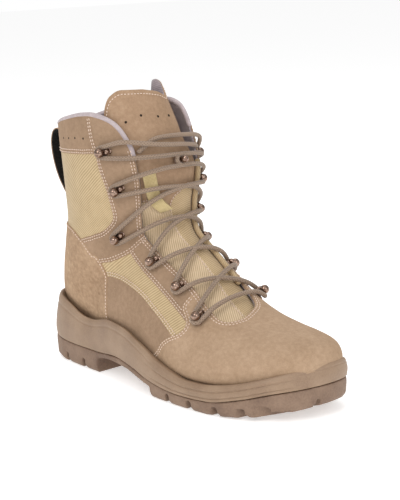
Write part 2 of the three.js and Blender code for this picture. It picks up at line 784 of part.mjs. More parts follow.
/** Hook on the tongue: seat plate, neck and a ball, with the lace round the neck. */
function tongueHookSolid(frame) {
  const at = (out) => frame.seat.clone().addScaledVector(frame.normal, GAP + 0.15 + out);
  const plate = new THREE.CylinderGeometry(HOOK.seat, HOOK.seat, TONGUE_HOOK.seatHeight, HOOK_SIDES);
  const neck = new THREE.CylinderGeometry(TONGUE_HOOK.neck, TONGUE_HOOK.neck, TONGUE_HOOK.stand, HOOK_SIDES);
  const ball = new THREE.SphereGeometry(TONGUE_HOOK.ball, HOOK_SIDES, BALL_BANDS);
  return union([
    placed(plate, at(TONGUE_HOOK.seatHeight / 2), frame.normal),
    placed(neck, at(TONGUE_HOOK.stand / 2), frame.normal),
    placed(ball, at(TONGUE_HOOK.stand), frame.normal),
  ]);
}

/** Place, outward normal and direction toward the throat at a hook seat. */
function hookFrame(row, turn, depth = 0) {
  const seat = upperPoint(row, turn, -depth);
  const normal = upperPoint(row, turn, 1).sub(upperPoint(row, turn, 0)).normalize();
  const inner = upperPoint(row, lerp(turn, 0.48, 0.25), -depth);
  const toThroat = inner.sub(seat);
  toThroat.addScaledVector(normal, -toThroat.dot(normal)).normalize();
  return { seat, normal, toThroat, up: normal.clone().cross(toThroat) };
}

/** Riveted speed hook: the lace turns round its neck, under the ball, and leaves beside the stud. */
function hookSolid(frame) {
  const { seat, normal, toThroat } = frame;
  const lift = GAP + 0.15;
  const at = (out, across) =>
    seat.clone().addScaledVector(normal, lift + out).addScaledVector(toThroat, across);
  const post = (radius, height, across) =>
    placed(new THREE.CylinderGeometry(radius, radius, height, HOOK_SIDES), at(height / 2, across), normal);
  return union([
    post(HOOK.seat, HOOK.seatHeight, 0),
    post(HOOK.neck, HOOK.stand, 0),
    placed(new THREE.SphereGeometry(HOOK.ball, HOOK_SIDES, BALL_BANDS), at(HOOK.stand, 0), normal),
    post(HOOK_STUD.seat, HOOK.seatHeight, HOOK_STUD.reach),
    post(HOOK_STUD.radius, HOOK_STUD.stand, HOOK_STUD.reach),
  ]);
}

// ---------------------------------------------------------------- lace
const LACE_LOOP = HOOK.neck + LACE_RADIUS + 0.8;    // radius of the lace round a hook
const LACE_STAND = 4.5;                              // height of the lace over the hook seat
const LACE_ON_TONGUE = 0.9;                          // height of the lace over the crest between hooks
const LACE_STEPS = 6;
const LACE_BAR_SIDES = 6;
const CORD_STEPS = 10;

/** Round cord along a path of points, closed at both ends. */
function cord(points, sides) {
  const body = new Body();
  let side = new THREE.Vector3(0, 0, 1);
  const rings = points.map((point, i) => {
    const before = points[Math.max(i - 1, 0)];
    const after = points[Math.min(i + 1, points.length - 1)];
    const along = after.clone().sub(before).normalize();
    side = side.clone().addScaledVector(along, -side.dot(along)).normalize();
    const other = along.clone().cross(side);
    return Array.from({ length: sides }, (_, j) => {
      const angle = (2 * Math.PI * j) / sides;
      return point
        .clone()
        .addScaledVector(side, LACE_RADIUS * Math.cos(angle))
        .addScaledVector(other, LACE_RADIUS * Math.sin(angle));
    });
  });
  body.skin(rings, true);
  body.cap(rings[0], true);
  body.cap(rings.at(-1), false);
  return body.solid();
}

/** Point beside a hook: across toward the throat and along the hook's own up direction. */
function besideHook(frame, across, along) {
  return frame.seat
    .clone()
    .addScaledVector(frame.normal, LACE_STAND)
    .addScaledVector(frame.toThroat, across)
    .addScaledVector(frame.up, along);
}

/** Half turn of lace round the outer side of a hook, from its lower side to its upper side. */
function hookTurn(frame) {
  const raised = frame.up.z >= 0 ? 1 : -1;
  const angles = [-95, -135, 180, 135, 95];
  return angles.map((degrees) => {
    const angle = THREE.MathUtils.degToRad(degrees);
    return besideHook(frame, LACE_LOOP * Math.cos(angle), raised * LACE_LOOP * Math.sin(angle));
  });
}

/** Points of the lace between two hooks, lifted over the throat edges and down on the tongue. */
function crossing(from, to, start, end, onTongue = LACE_ON_TONGUE, ease = 2) {
  const points = [];
  const startShift = start.clone().sub(upperPoint(from.row, from.turn, LACE_STAND));
  const endShift = end.clone().sub(upperPoint(to.row, to.turn, LACE_STAND));
  for (let i = 1; i < LACE_STEPS; i += 1) {
    const share = i / LACE_STEPS;
    const row = lerp(from.row, to.row, share);
    const turn = lerp(from.turn, to.turn, share);
    const level = lerp(LACE_STAND, onTongue, Math.sin(Math.PI * share) ** 2);
    const point = upperPoint(row, turn, level);
    point.addScaledVector(startShift, (1 - share) ** ease);
    point.addScaledVector(endShift, share ** ease);
    points.push(point);
  }
  return points;
}

const hookPlace = (index, side) => ({
  row: HOOKS[index][`${side}Row`],
  turn: HOOKS[index][`${side}Turn`],
});

/** Lace path that climbs from the bottom hook on one side to the top hook on the same side. */
function lacePath(firstSide) {
  const otherSide = firstSide === "lateral" ? "medial" : "lateral";
  const stops = [5, 4, 3, 2, 1].map((index, i) => hookPlace(index, i % 2 === 0 ? firstSide : otherSide));
  const frames = stops.map((stop) => hookFrame(stop.row, stop.turn));
  const points = hookTurn(frames[0]);
  for (let i = 1; i < stops.length; i += 1) {
    const turn = hookTurn(frames[i]);
    points.push(...crossing(stops[i - 1], stops[i], points.at(-1), turn[0]), ...turn);
  }
  const top = hookPlace(0, firstSide);
  const last = hookTurn(hookFrame(top.row, top.turn));
  const tongueTurn = tongueHookTurn(firstSide);
  const above = { row: TONGUE_HOOK.row, turn: TONGUE_HOOK.turn };
  points.push(...crossing(stops.at(-1), above, points.at(-1), tongueTurn[0], LACE_STAND, 1), ...tongueTurn);
  points.push(...crossing(above, top, tongueTurn.at(-1), last[0], LACE_STAND, 1), ...last);
  return points;
}

const tongueHookDepth = WALL + TONGUE_CLEARANCE;
const TONGUE_HOOK_LOOP = TONGUE_HOOK.neck + LACE_RADIUS + 1;

/** Lace round the tongue hook on the side away from the hooks it joins. */
function tongueHookTurn(firstSide) {
  const frame = hookFrame(TONGUE_HOOK.row, TONGUE_HOOK.turn, tongueHookDepth);
  const flat = (axis) => axis.addScaledVector(frame.normal, -axis.dot(frame.normal)).normalize();
  const sideways = flat(new THREE.Vector3(0, firstSide === "lateral" ? 1 : -1, 0));
  const upward = flat(new THREE.Vector3(0, 0, 1));
  const height = GAP + TONGUE_HOOK.seatHeight + LACE_RADIUS + 1.5;
  return [-80, -40, 0, 40, 80].map((degrees) => {
    const angle = THREE.MathUtils.degToRad(degrees);
    return frame.seat
      .clone()
      .addScaledVector(frame.normal, height)
      .addScaledVector(sideways, TONGUE_HOOK_LOOP * Math.cos(angle))
      .addScaledVector(upward, TONGUE_HOOK_LOOP * Math.sin(angle));
  });
}

/** Straight bar of lace across the bottom pair of hooks. */
function bottomBar() {
  const lateral = hookPlace(5, "lateral");
  const medial = hookPlace(5, "medial");
  const start = hookTurn(hookFrame(lateral.row, lateral.turn))[0];
  const end = hookTurn(hookFrame(medial.row, medial.turn))[0];
  return [start, ...crossing(lateral, medial, start, end), end];
}

function makeLace() {
  return union([
    cord(bottomBar(), LACE_BAR_SIDES),
    cord(lacePath("lateral"), LACE_BAR_SIDES),
    cord(lacePath("medial"), LACE_BAR_SIDES),
  ]);
}

// Free lace ends, from the top hooks across the tongue and in behind the opposite edge.
const LATERAL_END = [
  { row: 19.35, turn: 0.35, level: 5 },
  { row: 19.3, turn: 0.374, level: 5 },
  { row: 19.1, turn: 0.42, level: 4.2 },
  { row: 18.9, turn: 0.47, level: 3 },
  { row: 18.7, turn: 0.528, level: 1.6 },
  { row: 18.6, turn: 0.57, level: 0.6 },
  { row: 18.55, turn: 0.6, level: -0.6 },
];
const MEDIAL_END = [
  { row: 18.9, turn: 0.64, level: 4.8 },
  { row: 19.1, turn: 0.605, level: 3.6 },
  { row: 19.25, turn: 0.55, level: 1.5 },
  { row: 19.3, turn: 0.46, level: -0.9 },
  { row: 19.05, turn: 0.43, level: -1.2 },
  { row: 18.7, turn: 0.396, level: -1.2 },
];

/** Free end that carries on from the lace at a top hook, through the rows of its table. */
function laceEnd(side, rows) {
  const top = hookPlace(0, side);
  const frame = hookFrame(top.row, top.turn);
  const raised = frame.up.z >= 0 ? LACE_LOOP : -LACE_LOOP;
  const beside = [2 * GAP, 3].map((across) => besideHook(frame, across, raised));
  const path = rows.map((place) => upperPoint(place.row, place.turn, place.level));
  const curve = new THREE.CatmullRomCurve3([...beside, ...path]);
  return cord(curve.getSpacedPoints(CORD_STEPS), LACE_SIDES);
}

// ---------------------------------------------------------------- assembly
/** Wraps a solid as a named mesh with its own finish. */
function piece(name, solid, colour, roughness, metalness) {
  const mesh = solid.getMesh();
  const geometry = new THREE.BufferGeometry();
  geometry.setAttribute("position", new THREE.BufferAttribute(new Float32Array(mesh.vertProperties), 3));
  geometry.setIndex(new THREE.BufferAttribute(new Uint32Array(mesh.triVerts), 1));
  geometry.computeVertexNormals();
  const material = new THREE.MeshStandardMaterial({ color: colour, roughness, metalness });
  const part = new THREE.Mesh(geometry, material);
  part.name = name;
  return part;
}

const lasted = loftedUpper(() => GAP, 0);
const boot = new THREE.Group();
boot.name = "combat_boot";
boot.add(piece("outsole", makeOutsole(), COLOURS.sole, 0.85, 0));
boot.add(piece("midsole", makeMidsole(lasted), COLOURS.sole, 0.7, 0));
boot.add(piece("upper", makeUpper(), COLOURS.nubuck, 0.9, 0));
boot.add(piece("insole", makeInsole(), COLOURS.lining, 0.95, 0));
boot.add(piece("tongue", makeTongue(), COLOURS.nubuck, 0.9, 0));
boot.add(piece("pull_loop", makePullLoop(lasted), COLOURS.loop, 0.9, 0));
boot.add(piece("lace_keeper", makeLaceKeeper(), COLOURS.webbing, 0.95, 0));
HOOKS.forEach((hook, i) => {
  const lateral = hookSolid(hookFrame(hook.lateralRow, hook.lateralTurn));
  const medial = hookSolid(hookFrame(hook.medialRow, hook.medialTurn));
  boot.add(piece(`lateral_hook_${i + 1}`, lateral, COLOURS.bronze, 0.35, 0.9));
  boot.add(piece(`medial_hook_${i + 1}`, medial, COLOURS.bronze, 0.35, 0.9));
});

const tongueHook = tongueHookSolid(hookFrame(TONGUE_HOOK.row, TONGUE_HOOK.turn, tongueHookDepth));
boot.add(piece("tongue_hook", tongueHook, COLOURS.bronze, 0.35, 0.9));
boot.add(piece("lace", makeLace(), COLOURS.lace, 0.9, 0));
boot.add(piece("lace_end_lateral", laceEnd("lateral", LATERAL_END), COLOURS.lace, 0.9, 0));
boot.add(piece("lace_end_medial", laceEnd("medial", MEDIAL_END), COLOURS.lace, 0.9, 0));

const box = new THREE.Box3().setFromObject(boot);
const middle = box.getCenter(new THREE.Vector3());
for (const part of boot.children) part.geometry.translate(-middle.x, -middle.y, -box.min.z);

export default boot;
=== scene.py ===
"""Looks of the combat boot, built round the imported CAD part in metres."""
import logging
import math
from dataclasses import dataclass, field
from enum import Enum

import bpy
import numpy as np
from mathutils import Matrix, Vector
from mathutils.geometry import delaunay_2d_cdt


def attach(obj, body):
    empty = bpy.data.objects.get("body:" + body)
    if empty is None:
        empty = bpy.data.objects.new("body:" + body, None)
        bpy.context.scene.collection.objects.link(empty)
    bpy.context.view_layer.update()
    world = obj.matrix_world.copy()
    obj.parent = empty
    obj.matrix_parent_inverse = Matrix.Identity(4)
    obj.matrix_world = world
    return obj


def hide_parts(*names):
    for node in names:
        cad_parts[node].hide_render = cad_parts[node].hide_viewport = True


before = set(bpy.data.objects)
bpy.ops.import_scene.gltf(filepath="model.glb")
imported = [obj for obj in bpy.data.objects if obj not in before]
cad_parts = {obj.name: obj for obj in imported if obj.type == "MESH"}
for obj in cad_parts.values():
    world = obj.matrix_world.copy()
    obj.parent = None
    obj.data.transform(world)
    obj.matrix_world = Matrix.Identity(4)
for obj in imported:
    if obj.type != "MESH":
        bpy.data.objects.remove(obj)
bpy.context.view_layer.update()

LOG = logging.getLogger("boot")
MM = 0.001
SHIFT = np.array([-152.7, 1.14, 0.0])   # from the boot's own axes (heel, centre line) to the frame, mm

# ------------------------------------------------------------------ sizes shared with the CAD, mm
WALL = 2.4
COLLAR_PADDING = 3.2
TONGUE_CLEARANCE = 1.8
TONGUE_MEDIAL_INSET = 6
LACE_RADIUS = 1.9

SECTION_KEYS = (
    "frontX", "frontZ", "backX", "backZ", "lateral", "medial",
    "centre", "crest", "wide", "backPower", "frontPower",
)
SECTIONS = (
    (306.5, 43, 306.5, 40, 2, 2, 9, 0, 0.5, 2, 2),
    (305, 49, 305, 34.5, 15, 13, 9, 0, 0.45, 3, 2.2),
    (300.5, 55.5, 299.5, 30.5, 25, 23, 8, 0, 0.42, 4, 2.4),
    (289, 59, 287, 26.5, 34, 33, 6, 2, 0.4, 5, 2.5),
    (271, 61.5, 268, 23, 42, 40.5, 3, 4, 0.38, 5.5, 2.5),
    (250, 64.5, 245, 20.5, 48, 44.5, 1, 7, 0.36, 5.5, 2.4),
    (230, 70, 218, 19, 50.5, 44.5, 0, 9, 0.33, 5.5, 2.3),
    (211, 81, 190, 19, 49, 42, -1, 10, 0.3, 4.6, 2.2),
    (193, 96.5, 163, 21.5, 45.5, 38, -1, 10, 0.3, 4, 2.15),
    (177, 109, 136, 26, 42, 36, -1, 10, 0.33, 3.6, 2.15),
    (163.5, 119.5, 108, 30, 39, 35, -1, 9, 0.37, 3.4, 2.25),
    (152.5, 128.5, 78, 32, 36, 34, -1, 8, 0.42, 3.2, 2.4),
    (147, 137, 48, 34, 34, 34, 0, 7, 0.46, 2.8, 2.6),
    (145.5, 145.5, 24, 38.5, 35.5, 35, 0, 7, 0.5, 2.4, 2.8),
    (145.5, 154, 7.5, 52, 38, 37, 0, 6, 0.52, 2.1, 2.9),
    (146, 162.5, 7, 74, 40, 39, 0, 6, 0.53, 2, 2.9),
    (146, 171, 12.5, 98, 42, 41, 0, 6, 0.54, 2, 2.9),
    (145.5, 180.5, 18.5, 122, 44, 43, 0, 6, 0.54, 2, 2.9),
    (144, 190.5, 19, 148, 46, 44, 0, 5, 0.54, 2, 2.9),
    (140.5, 202.5, 17, 176, 47, 45, 0, 4, 0.55, 2, 2.9),
    (134, 217.5, 14.5, 206, 47, 46, 0, 3, 0.56, 2, 2.8),
    (126, 234.5, 13, 232, 46, 46, 0, 1, 0.58, 2, 2.6),
    (118, 252, 12, 254, 45, 45, 0, 0, 0.6, 2, 2.4),
)
COLLAR_LINE = (
    (-20, 206), (8, 207), (26, 213), (52, 220.5), (92, 227), (105, 224.8), (113, 221.5),
    (121, 214), (126, 206), (130, 199), (134, 190), (138, 175),
)
COLLAR_MEDIAL_RISE = 5
# row, lateral place and medial place round the section of the throat's two edges
THROAT_EDGES = (
    (6.02, 0.45, 0.46), (6.08, 0.43, 0.475), (6.25, 0.411, 0.497), (6.6, 0.4, 0.525),
    (7.2, 0.399, 0.545), (8.2, 0.397, 0.56), (9.5, 0.387, 0.572), (11, 0.377, 0.582),
    (12.6, 0.36, 0.59), (14.4, 0.372, 0.6), (17, 0.376, 0.61), (19, 0.38, 0.625), (22, 0.38, 0.635),
)
TONGUE_EDGES = (
    (5.7, 0.43, 0.5), (6.2, 0.39, 0.53), (8, 0.37, 0.578), (10, 0.362, 0.595), (13, 0.345, 0.615),
    (17, 0.345, 0.635), (19, 0.33, 0.68), (20.5, 0.3, 0.755), (22, 0.3, 0.76),
)
TONGUE_TOP = (
    (-1, 20.3), (-0.88, 21.05), (-0.76, 21.4), (-0.52, 21.68), (-0.23, 21.66), (-0.05, 21.5), (0.12, 21.36),
    (0.3, 21.4), (0.42, 21.62), (0.55, 21.88), (0.68, 21.95), (0.8, 21.8), (0.92, 21.2), (1, 20.5),
)
OUTLINE = (
    (-4, 0), (1, -18), (14, -30), (45, -36.5), (80, -39.5), (115, -45), (155, -52.5), (200, -56.5),
    (240, -54.5), (274, -44), (299, -22), (309, 8), (303, 33), (281, 47), (240, 51.5), (205, 48.5),
    (165, 41), (125, 36), (80, 35), (45, 35), (14, 29), (1, 17),
)
TOE_ROW = 11
JOINT_LINE = (
    (-4, 24), (40, 19.5), (80, 19.5), (110, 22), (140, 19), (165, 13.5),
    (200, 10.5), (235, 11.5), (262, 17), (288, 24), (309, 28),
)
FOXING_LINE = (
    (-4, 60), (14, 59.5), (34, 55.5), (62, 47), (72, 46.5), (98, 51), (120, 49.5), (147, 42),
    (168, 33.5), (190, 27), (209, 23.5), (229, 24), (248, 26.5), (268, 31), (288, 37), (309, 43.5),
)
# lateral row, lateral place, medial row, medial place of each hook pair, top pair first
HOOKS = (
    (19.05, 0.296, 18.3, 0.675), (16.85, 0.31, 16.6, 0.665), (13.7, 0.3, 14.1, 0.65),
    (10.45, 0.354, 11.2, 0.63), (8.6, 0.366, 8.9, 0.615), (7.1, 0.358, 7.15, 0.6),
)
TONGUE_HOOK = (17.7, 0.502)
LACE_LOOP = 1.5 + LACE_RADIUS + 0.8     # radius of the lace round a hook
PULL_LOOP_PATH = (
    (10.5, 202), (5, 204.5), (0, 202), (-2.8, 195), (-2.6, 185), (0.5, 173), (6, 161), (12.5, 152), (17.5, 146),
)

# Soft creases of the upper: ends as row and place, depth below the surface and half width, mm.
# A negative depth is a ridge.
CREASES = (
    (12.6, 0.20, 12.3, 0.33, 0.9, 6.0),
    (11.4, 0.26, 11.0, 0.34, 0.7, 5.0),
    (13.6, 0.24, 13.5, 0.34, -0.6, 7.0),
    (12.6, -0.20, 12.3, -0.36, 0.9, 6.0),
    (13.6, -0.24, 13.5, -0.36, -0.6, 7.0),
    (15.4, 0.14, 14.9, 0.28, 0.7, 6.0),
    (17.9, 0.18, 17.2, 0.27, 0.6, 9.0),
    (16.4, 0.20, 16.0, 0.28, -0.5, 8.0),
    (7.0, 0.24, 6.3, 0.34, 0.7, 7.0),
    (5.9, 0.27, 5.6, 0.40, -0.5, 9.0),
    (6.4, 0.42, 5.3, 0.47, 0.6, 9.0),
    (4.3, 0.30, 3.9, 0.62, -0.4, 14.0),
    (7.0, 0.76, 6.3, 0.66, 0.7, 7.0),
    (9.4, 0.22, 8.9, 0.28, 0.5, 6.0),
)


# ------------------------------------------------------------------ curves and tables
def through(rows, column: int):
    """Monotone cubic through a table.

    Args:
        rows: rows whose first number is the key, rising.
        column: the column to read.

    Returns:
        A function of the key that takes and gives arrays.
    """
    xs = np.array([row[0] for row in rows], float)
    ys = np.array([row[column] for row in rows], float)
    slopes = np.diff(ys) / np.diff(xs)
    tangents = np.empty(len(xs))
    tangents[0], tangents[-1] = slopes[0], slopes[-1]
    for i in range(1, len(xs) - 1):
        before, after = slopes[i - 1], slopes[i]
        tangents[i] = 0 if before * after <= 0 else 2 * before * after / (before + after)

    def value(x):
        x = np.clip(np.asarray(x, float), xs[0], xs[-1])
        i = np.clip(np.searchsorted(xs, x, side="right") - 1, 0, len(xs) - 2)
        width = xs[i + 1] - xs[i]
        u = (x - xs[i]) / width
        rise = ys[i] * (1 + 2 * u) * (1 - u) ** 2 + ys[i + 1] * u * u * (3 - 2 * u)
        return rise + width * (tangents[i] * u * (1 - u) ** 2 - tangents[i + 1] * u * u * (1 - u))

    return value


def smoothstep(x, low: float, high: float):
    """Smooth 0 to 1 between low and high."""
    t = np.clip((np.asarray(x, float) - low) / (high - low), 0, 1)
    return t * t * (3 - 2 * t)


def smooth_path(points, step: float, closed: bool = False) -> np.ndarray:
    """Catmull-Rom curve through points, sampled evenly.

    Args:
        points: rows of coordinates.
        step: distance between samples, in the points' own unit.
        closed: whether the curve joins its start.

    Returns:
        The samples, one a row.
    """
    p = np.asarray(points, float)
    count = len(p)
    dense = []
    spans = count if closed else count - 1
    for i in range(spans):
        if closed:
            a, b, c, d = p[(i - 1) % count], p[i], p[(i + 1) % count], p[(i + 2) % count]
        else:
            b, c = p[i], p[i + 1]
            a = p[i - 1] if i > 0 else 2 * b - c
            d = p[i + 2] if i + 2 < count else 2 * c - b
        knots = [0.0]
        for s, e in ((a, b), (b, c), (c, d)):
            knots.append(knots[-1] + max(np.linalg.norm(e - s), 1e-9) ** 0.5)
        t0, t1, t2, t3 = knots
        for t in np.linspace(t1, t2, 12, endpoint=False):
            a1 = (t1 - t) / (t1 - t0) * a + (t - t0) / (t1 - t0) * b
            a2 = (t2 - t) / (t2 - t1) * b + (t - t1) / (t2 - t1) * c
            a3 = (t3 - t) / (t3 - t2) * c + (t - t2) / (t3 - t2) * d
            b1 = (t2 - t) / (t2 - t0) * a1 + (t - t0) / (t2 - t0) * a2
            b2 = (t3 - t) / (t3 - t1) * a2 + (t - t1) / (t3 - t1) * a3
            dense.append((t2 - t) / (t2 - t1) * b1 + (t - t1) / (t2 - t1) * b2)
    dense.append(p[0] if closed else p[-1])
    return resample(np.array(dense), step)


def resample(points: np.ndarray, step: float) -> np.ndarray:
    """Points spaced evenly along a polyline, its ends kept."""
    lengths = np.r_[0, np.cumsum(np.linalg.norm(np.diff(points, axis=0), axis=1))]
    count = max(int(round(lengths[-1] / step)), 1) + 1
    at = np.linspace(0, lengths[-1], count)
    return np.stack([np.interp(at, lengths, points[:, k]) for k in range(points.shape[1])], 1)


def inside_polygon(points: np.ndarray, polygon: np.ndarray) -> np.ndarray:
    """Which points lie inside a closed polygon, by crossings."""
    x, y = points[:, 0][:, None], points[:, 1][:, None]
    a, b = polygon, np.roll(polygon, -1, 0)
    spans = (a[:, 1] > y) != (b[:, 1] > y)
    rise = np.where(b[:, 1] == a[:, 1], 1e-12, b[:, 1] - a[:, 1])
    crossing = a[:, 0] + (y - a[:, 1]) / rise * (b[:, 0] - a[:, 0])
    return (np.sum(spans & (x < crossing), 1) % 2) == 1


def edge_distance(points: np.ndarray, polygon: np.ndarray) -> np.ndarray:
    """Distance of each point from a closed polygon's edges."""
    a, b = polygon, np.roll(polygon, -1, 0)
    d = b - a
    best = np.full(len(points), np.inf)
    for s, v in zip(a, d):
        t = np.clip(((points - s) @ v) / max(v @ v, 1e-12), 0, 1)
        best = np.minimum(best, np.linalg.norm(points - s - t[:, None] * v, axis=1))
    return best


# ------------------------------------------------------------------ the upper's surface
class Surface:
    """Outside surface of the upper. A place is (row, turn): row climbs from the toe tip to the top,
    and turn goes once round, from the back by the lateral side to the front and the medial side."""

    def __init__(self) -> None:
        self.columns = np.array(SECTIONS, float)
        self.collar_z = through(COLLAR_LINE, 1)
        self.throat_lateral = through(THROAT_EDGES, 1)
        self.throat_medial = through(THROAT_EDGES, 2)
        self.rows = np.linspace(0, 22, 89)
        self.turns = np.linspace(-0.75, 1.25, 401)
        grid = self.bare(np.repeat(self.rows, 401), np.tile(self.turns, 89)).reshape(89, 401, 3)
        steps = np.linalg.norm(np.diff(grid, axis=1), axis=2)
        self.girths = np.hstack([np.zeros((89, 1)), np.cumsum(steps, 1)])
        self.climb = np.r_[0, np.cumsum(np.linalg.norm(np.diff(grid[:, 250], axis=0), axis=1))]
        self.creases: list = []
        for row0, turn0, row1, turn1, depth, width in CREASES:
            ends = self.bare(np.array([row0, row1]), np.array([turn0, turn1]))
            self.creases.append((ends[0], ends[1], depth, width))

    def section(self, row: np.ndarray) -> np.ndarray:
        """Section sizes at row positions, one row each."""
        c, last = self.columns, len(self.columns) - 1
        row = np.clip(row, 0, last)
        i = np.clip(np.floor(row).astype(int), 0, last - 1)
        u = (row - i)[:, None]
        p, q, r, s = c[np.clip(i - 1, 0, last)], c[i], c[i + 1], c[np.clip(i + 2, 0, last)]
        return q + 0.5 * u * (r - p + u * (2 * p - 5 * q + 4 * r - s + u * (3 * (q - r) + s - p)))

    def bare(self, row, turn) -> np.ndarray:
        """Points of the smooth surface in the boot's own axes, mm."""
        row, turn = np.broadcast_arrays(np.atleast_1d(row).astype(float), np.atleast_1d(turn).astype(float))
        s = dict(zip(SECTION_KEYS, self.section(row).T))
        forward, side = -np.cos(2 * np.pi * turn), np.sin(2 * np.pi * turn)
        power = 2 / np.where(forward < 0, s["backPower"], s["frontPower"])
        reach = np.abs(forward) ** power
        wide = s["wide"]
        along = np.where(forward < 0, wide * (1 - reach), wide + (1 - wide) * reach)
        half = np.where(side > 0, s["lateral"], s["medial"])
        sideways = -np.sign(side) * half * np.abs(side) ** power
        t = np.clip((along - wide) / (1 - wide), 0, 1)
        lean = s["crest"] * t * t * (3 - 2 * t)
        return np.stack([
            s["backX"] + (s["frontX"] - s["backX"]) * along,
            s["centre"] + sideways + lean,
            s["backZ"] + (s["frontZ"] - s["backZ"]) * along,
        ], 1)

    def girth(self, row, turn, start: float) -> np.ndarray:
        """Length round the section from a starting turn, mm."""
        def read(r, t):
            i = np.clip(r / 0.25, 0, 87.999)
            j = np.clip((t + 0.75) / 0.005, 0, 399.999)
            a, b = i.astype(int), j.astype(int)
            u, v = i - a, j - b
            g = self.girths
            return ((1 - u) * ((1 - v) * g[a, b] + v * g[a, b + 1])
                    + u * ((1 - v) * g[a + 1, b] + v * g[a + 1, b + 1]))
        row, turn = np.atleast_1d(row).astype(float), np.atleast_1d(turn).astype(float)
        return read(row, turn) - read(row, np.full(len(row), start))

    def slopes(self, row, turn) -> tuple:
        """Change of the point with row and with turn."""
        d_row, d_turn = 0.04, 0.004
        row, turn = np.atleast_1d(row).astype(float), np.atleast_1d(turn).astype(float)
        high, low = np.minimum(row + d_row, 22), np.maximum(row - d_row, 0)
        by_row = (self.bare(high, turn) - self.bare(low, turn)) / (high - low)[:, None]
        by_turn = (self.bare(row, turn + d_turn) - self.bare(row, turn - d_turn)) / (2 * d_turn)
        return by_row, by_turn

    def normal(self, row, turn) -> np.ndarray:
        """Outward unit normals."""
        by_row, by_turn = self.slopes(row, turn)
        n = np.cross(by_turn, by_row)
        return n / np.linalg.norm(n, axis=1)[:, None]

    def relief(self, points: np.ndarray) -> np.ndarray:
        """Height of the listed creases at points of the surface, mm."""
        height = np.zeros(len(points))
        for start, end, depth, width in self.creases:
            v = end - start
            t = ((points - start) @ v) / (v @ v)
            d = np.linalg.norm(points - start - np.clip(t, 0, 1)[:, None] * v, axis=1)
            height -= depth * np.exp(-((d / width) ** 2))
        return height

    def at(self, row, turn, level=0.0, plain: bool = False) -> np.ndarray:
        """Points at a level over the surface, creases included, mm."""
        base = self.bare(row, turn)
        lift = np.asarray(level, float) + (0 if plain else self.relief(base))
        return base + self.normal(row, turn) * np.broadcast_to(lift, (len(base),))[:, None]

    def wall(self, row, turn) -> np.ndarray:
        """Wall thickness, thicker in the padded collar."""
        z = self.bare(row, turn)[:, 2]
        around = np.abs(np.mod(np.atleast_1d(turn), 1) - 0.5)
        return WALL + COLLAR_PADDING * smoothstep(z, 186, 206) * smoothstep(around, 0.14, 0.24)

    def move(self, places: np.ndarray, distance) -> np.ndarray:
        """Moves a path of places sideways along the surface; a positive distance is to its left."""
        points = self.bare(places[:, 0], places[:, 1])
        along = np.gradient(points, axis=0)
        along /= np.maximum(np.linalg.norm(along, axis=1), 1e-9)[:, None]
        left = np.cross(self.normal(places[:, 0], places[:, 1]), along)
        by_row, by_turn = self.slopes(places[:, 0], places[:, 1])
        moved = places.copy()
        for i in range(len(places)):
            basis = np.stack([by_row[i], by_turn[i]], 1)
            step = np.linalg.lstsq(basis, left[i] * np.broadcast_to(distance, (len(places),))[i], rcond=None)[0]
            moved[i] += step
        return moved

    def collar_rows(self, turns: np.ndarray, drop: float = 0.0) -> np.ndarray:
        """Rows where the collar line crosses each turn."""
        low, high = np.full(len(turns), 16.0), np.full(len(turns), 21.9)
        for _ in range(30):
            middle = (low + high) / 2
            p = self.bare(middle, turns)
            rise = COLLAR_MEDIAL_RISE * smoothstep(p[:, 1], -10, 30)
            above = p[:, 2] > self.collar_z(p[:, 0]) + rise - drop
            high, low = np.where(above, middle, high), np.where(above, low, middle)
        return (low + high) / 2


# ------------------------------------------------------------------ meshes
def to_frame(points: np.ndarray) -> np.ndarray:
    """Boot axes in mm to frame metres."""
    return (np.asarray(points, float) + SHIFT) * MM


def mesh_object(name: str, points: np.ndarray, faces: list, uv: np.ndarray | None = None) -> bpy.types.Object:
    """Makes a smooth-shaded mesh object at the origin.

    Args:
        name: object name.
        points: vertices in the boot's axes, mm.
        faces: vertex numbers of each face.
        uv: pattern coordinates per vertex, in mm.

    Returns:
        The linked object.
    """
    mesh = bpy.data.meshes.new(name)
    mesh.from_pydata(to_frame(points).tolist(), [], [list(map(int, f)) for f in faces])
    mesh.validate()
    if uv is not None:
        layer = mesh.uv_layers.new(name="pattern")
        index = np.empty(len(mesh.loops), np.int32)
        mesh.loops.foreach_get("vertex_index", index)
        layer.data.foreach_set("uv", (np.asarray(uv, np.float32)[index] * MM).ravel())
    mesh.polygons.foreach_set("use_smooth", [True] * len(mesh.polygons))
    obj = bpy.data.objects.new(name, mesh)
    bpy.context.scene.collection.objects.link(obj)
    return obj


def grid_faces(rows: int, columns: int, closed: bool = False, start: int = 0, flip: bool = False) -> list:
    """Quads of a grid of points; columns wrap round when closed."""
    faces = []
    for i in range(rows - 1):
        for j in range(columns if closed else columns - 1):
            k = (j + 1) % columns
            quad = [i * columns + j, i * columns + k, (i + 1) * columns + k, (i + 1) * columns + j]
            quad = [start + q for q in quad]
            faces.append(quad[::-1] if flip else quad)
    return faces


def outward(obj: bpy.types.Object) -> bpy.types.Object:
    """Turns a closed mesh's faces outward."""
    mesh = obj.data
    co = np.array([v.co for v in mesh.vertices], float)
    volume = 0.0
    for p in mesh.polygons:
        v = [co[i] for i in p.vertices]
        for k in range(1, len(v) - 1):
            volume += np.dot(v[0], np.cross(v[k], v[k + 1]))
    if volume < 0:
        mesh.flip_normals()
    return obj


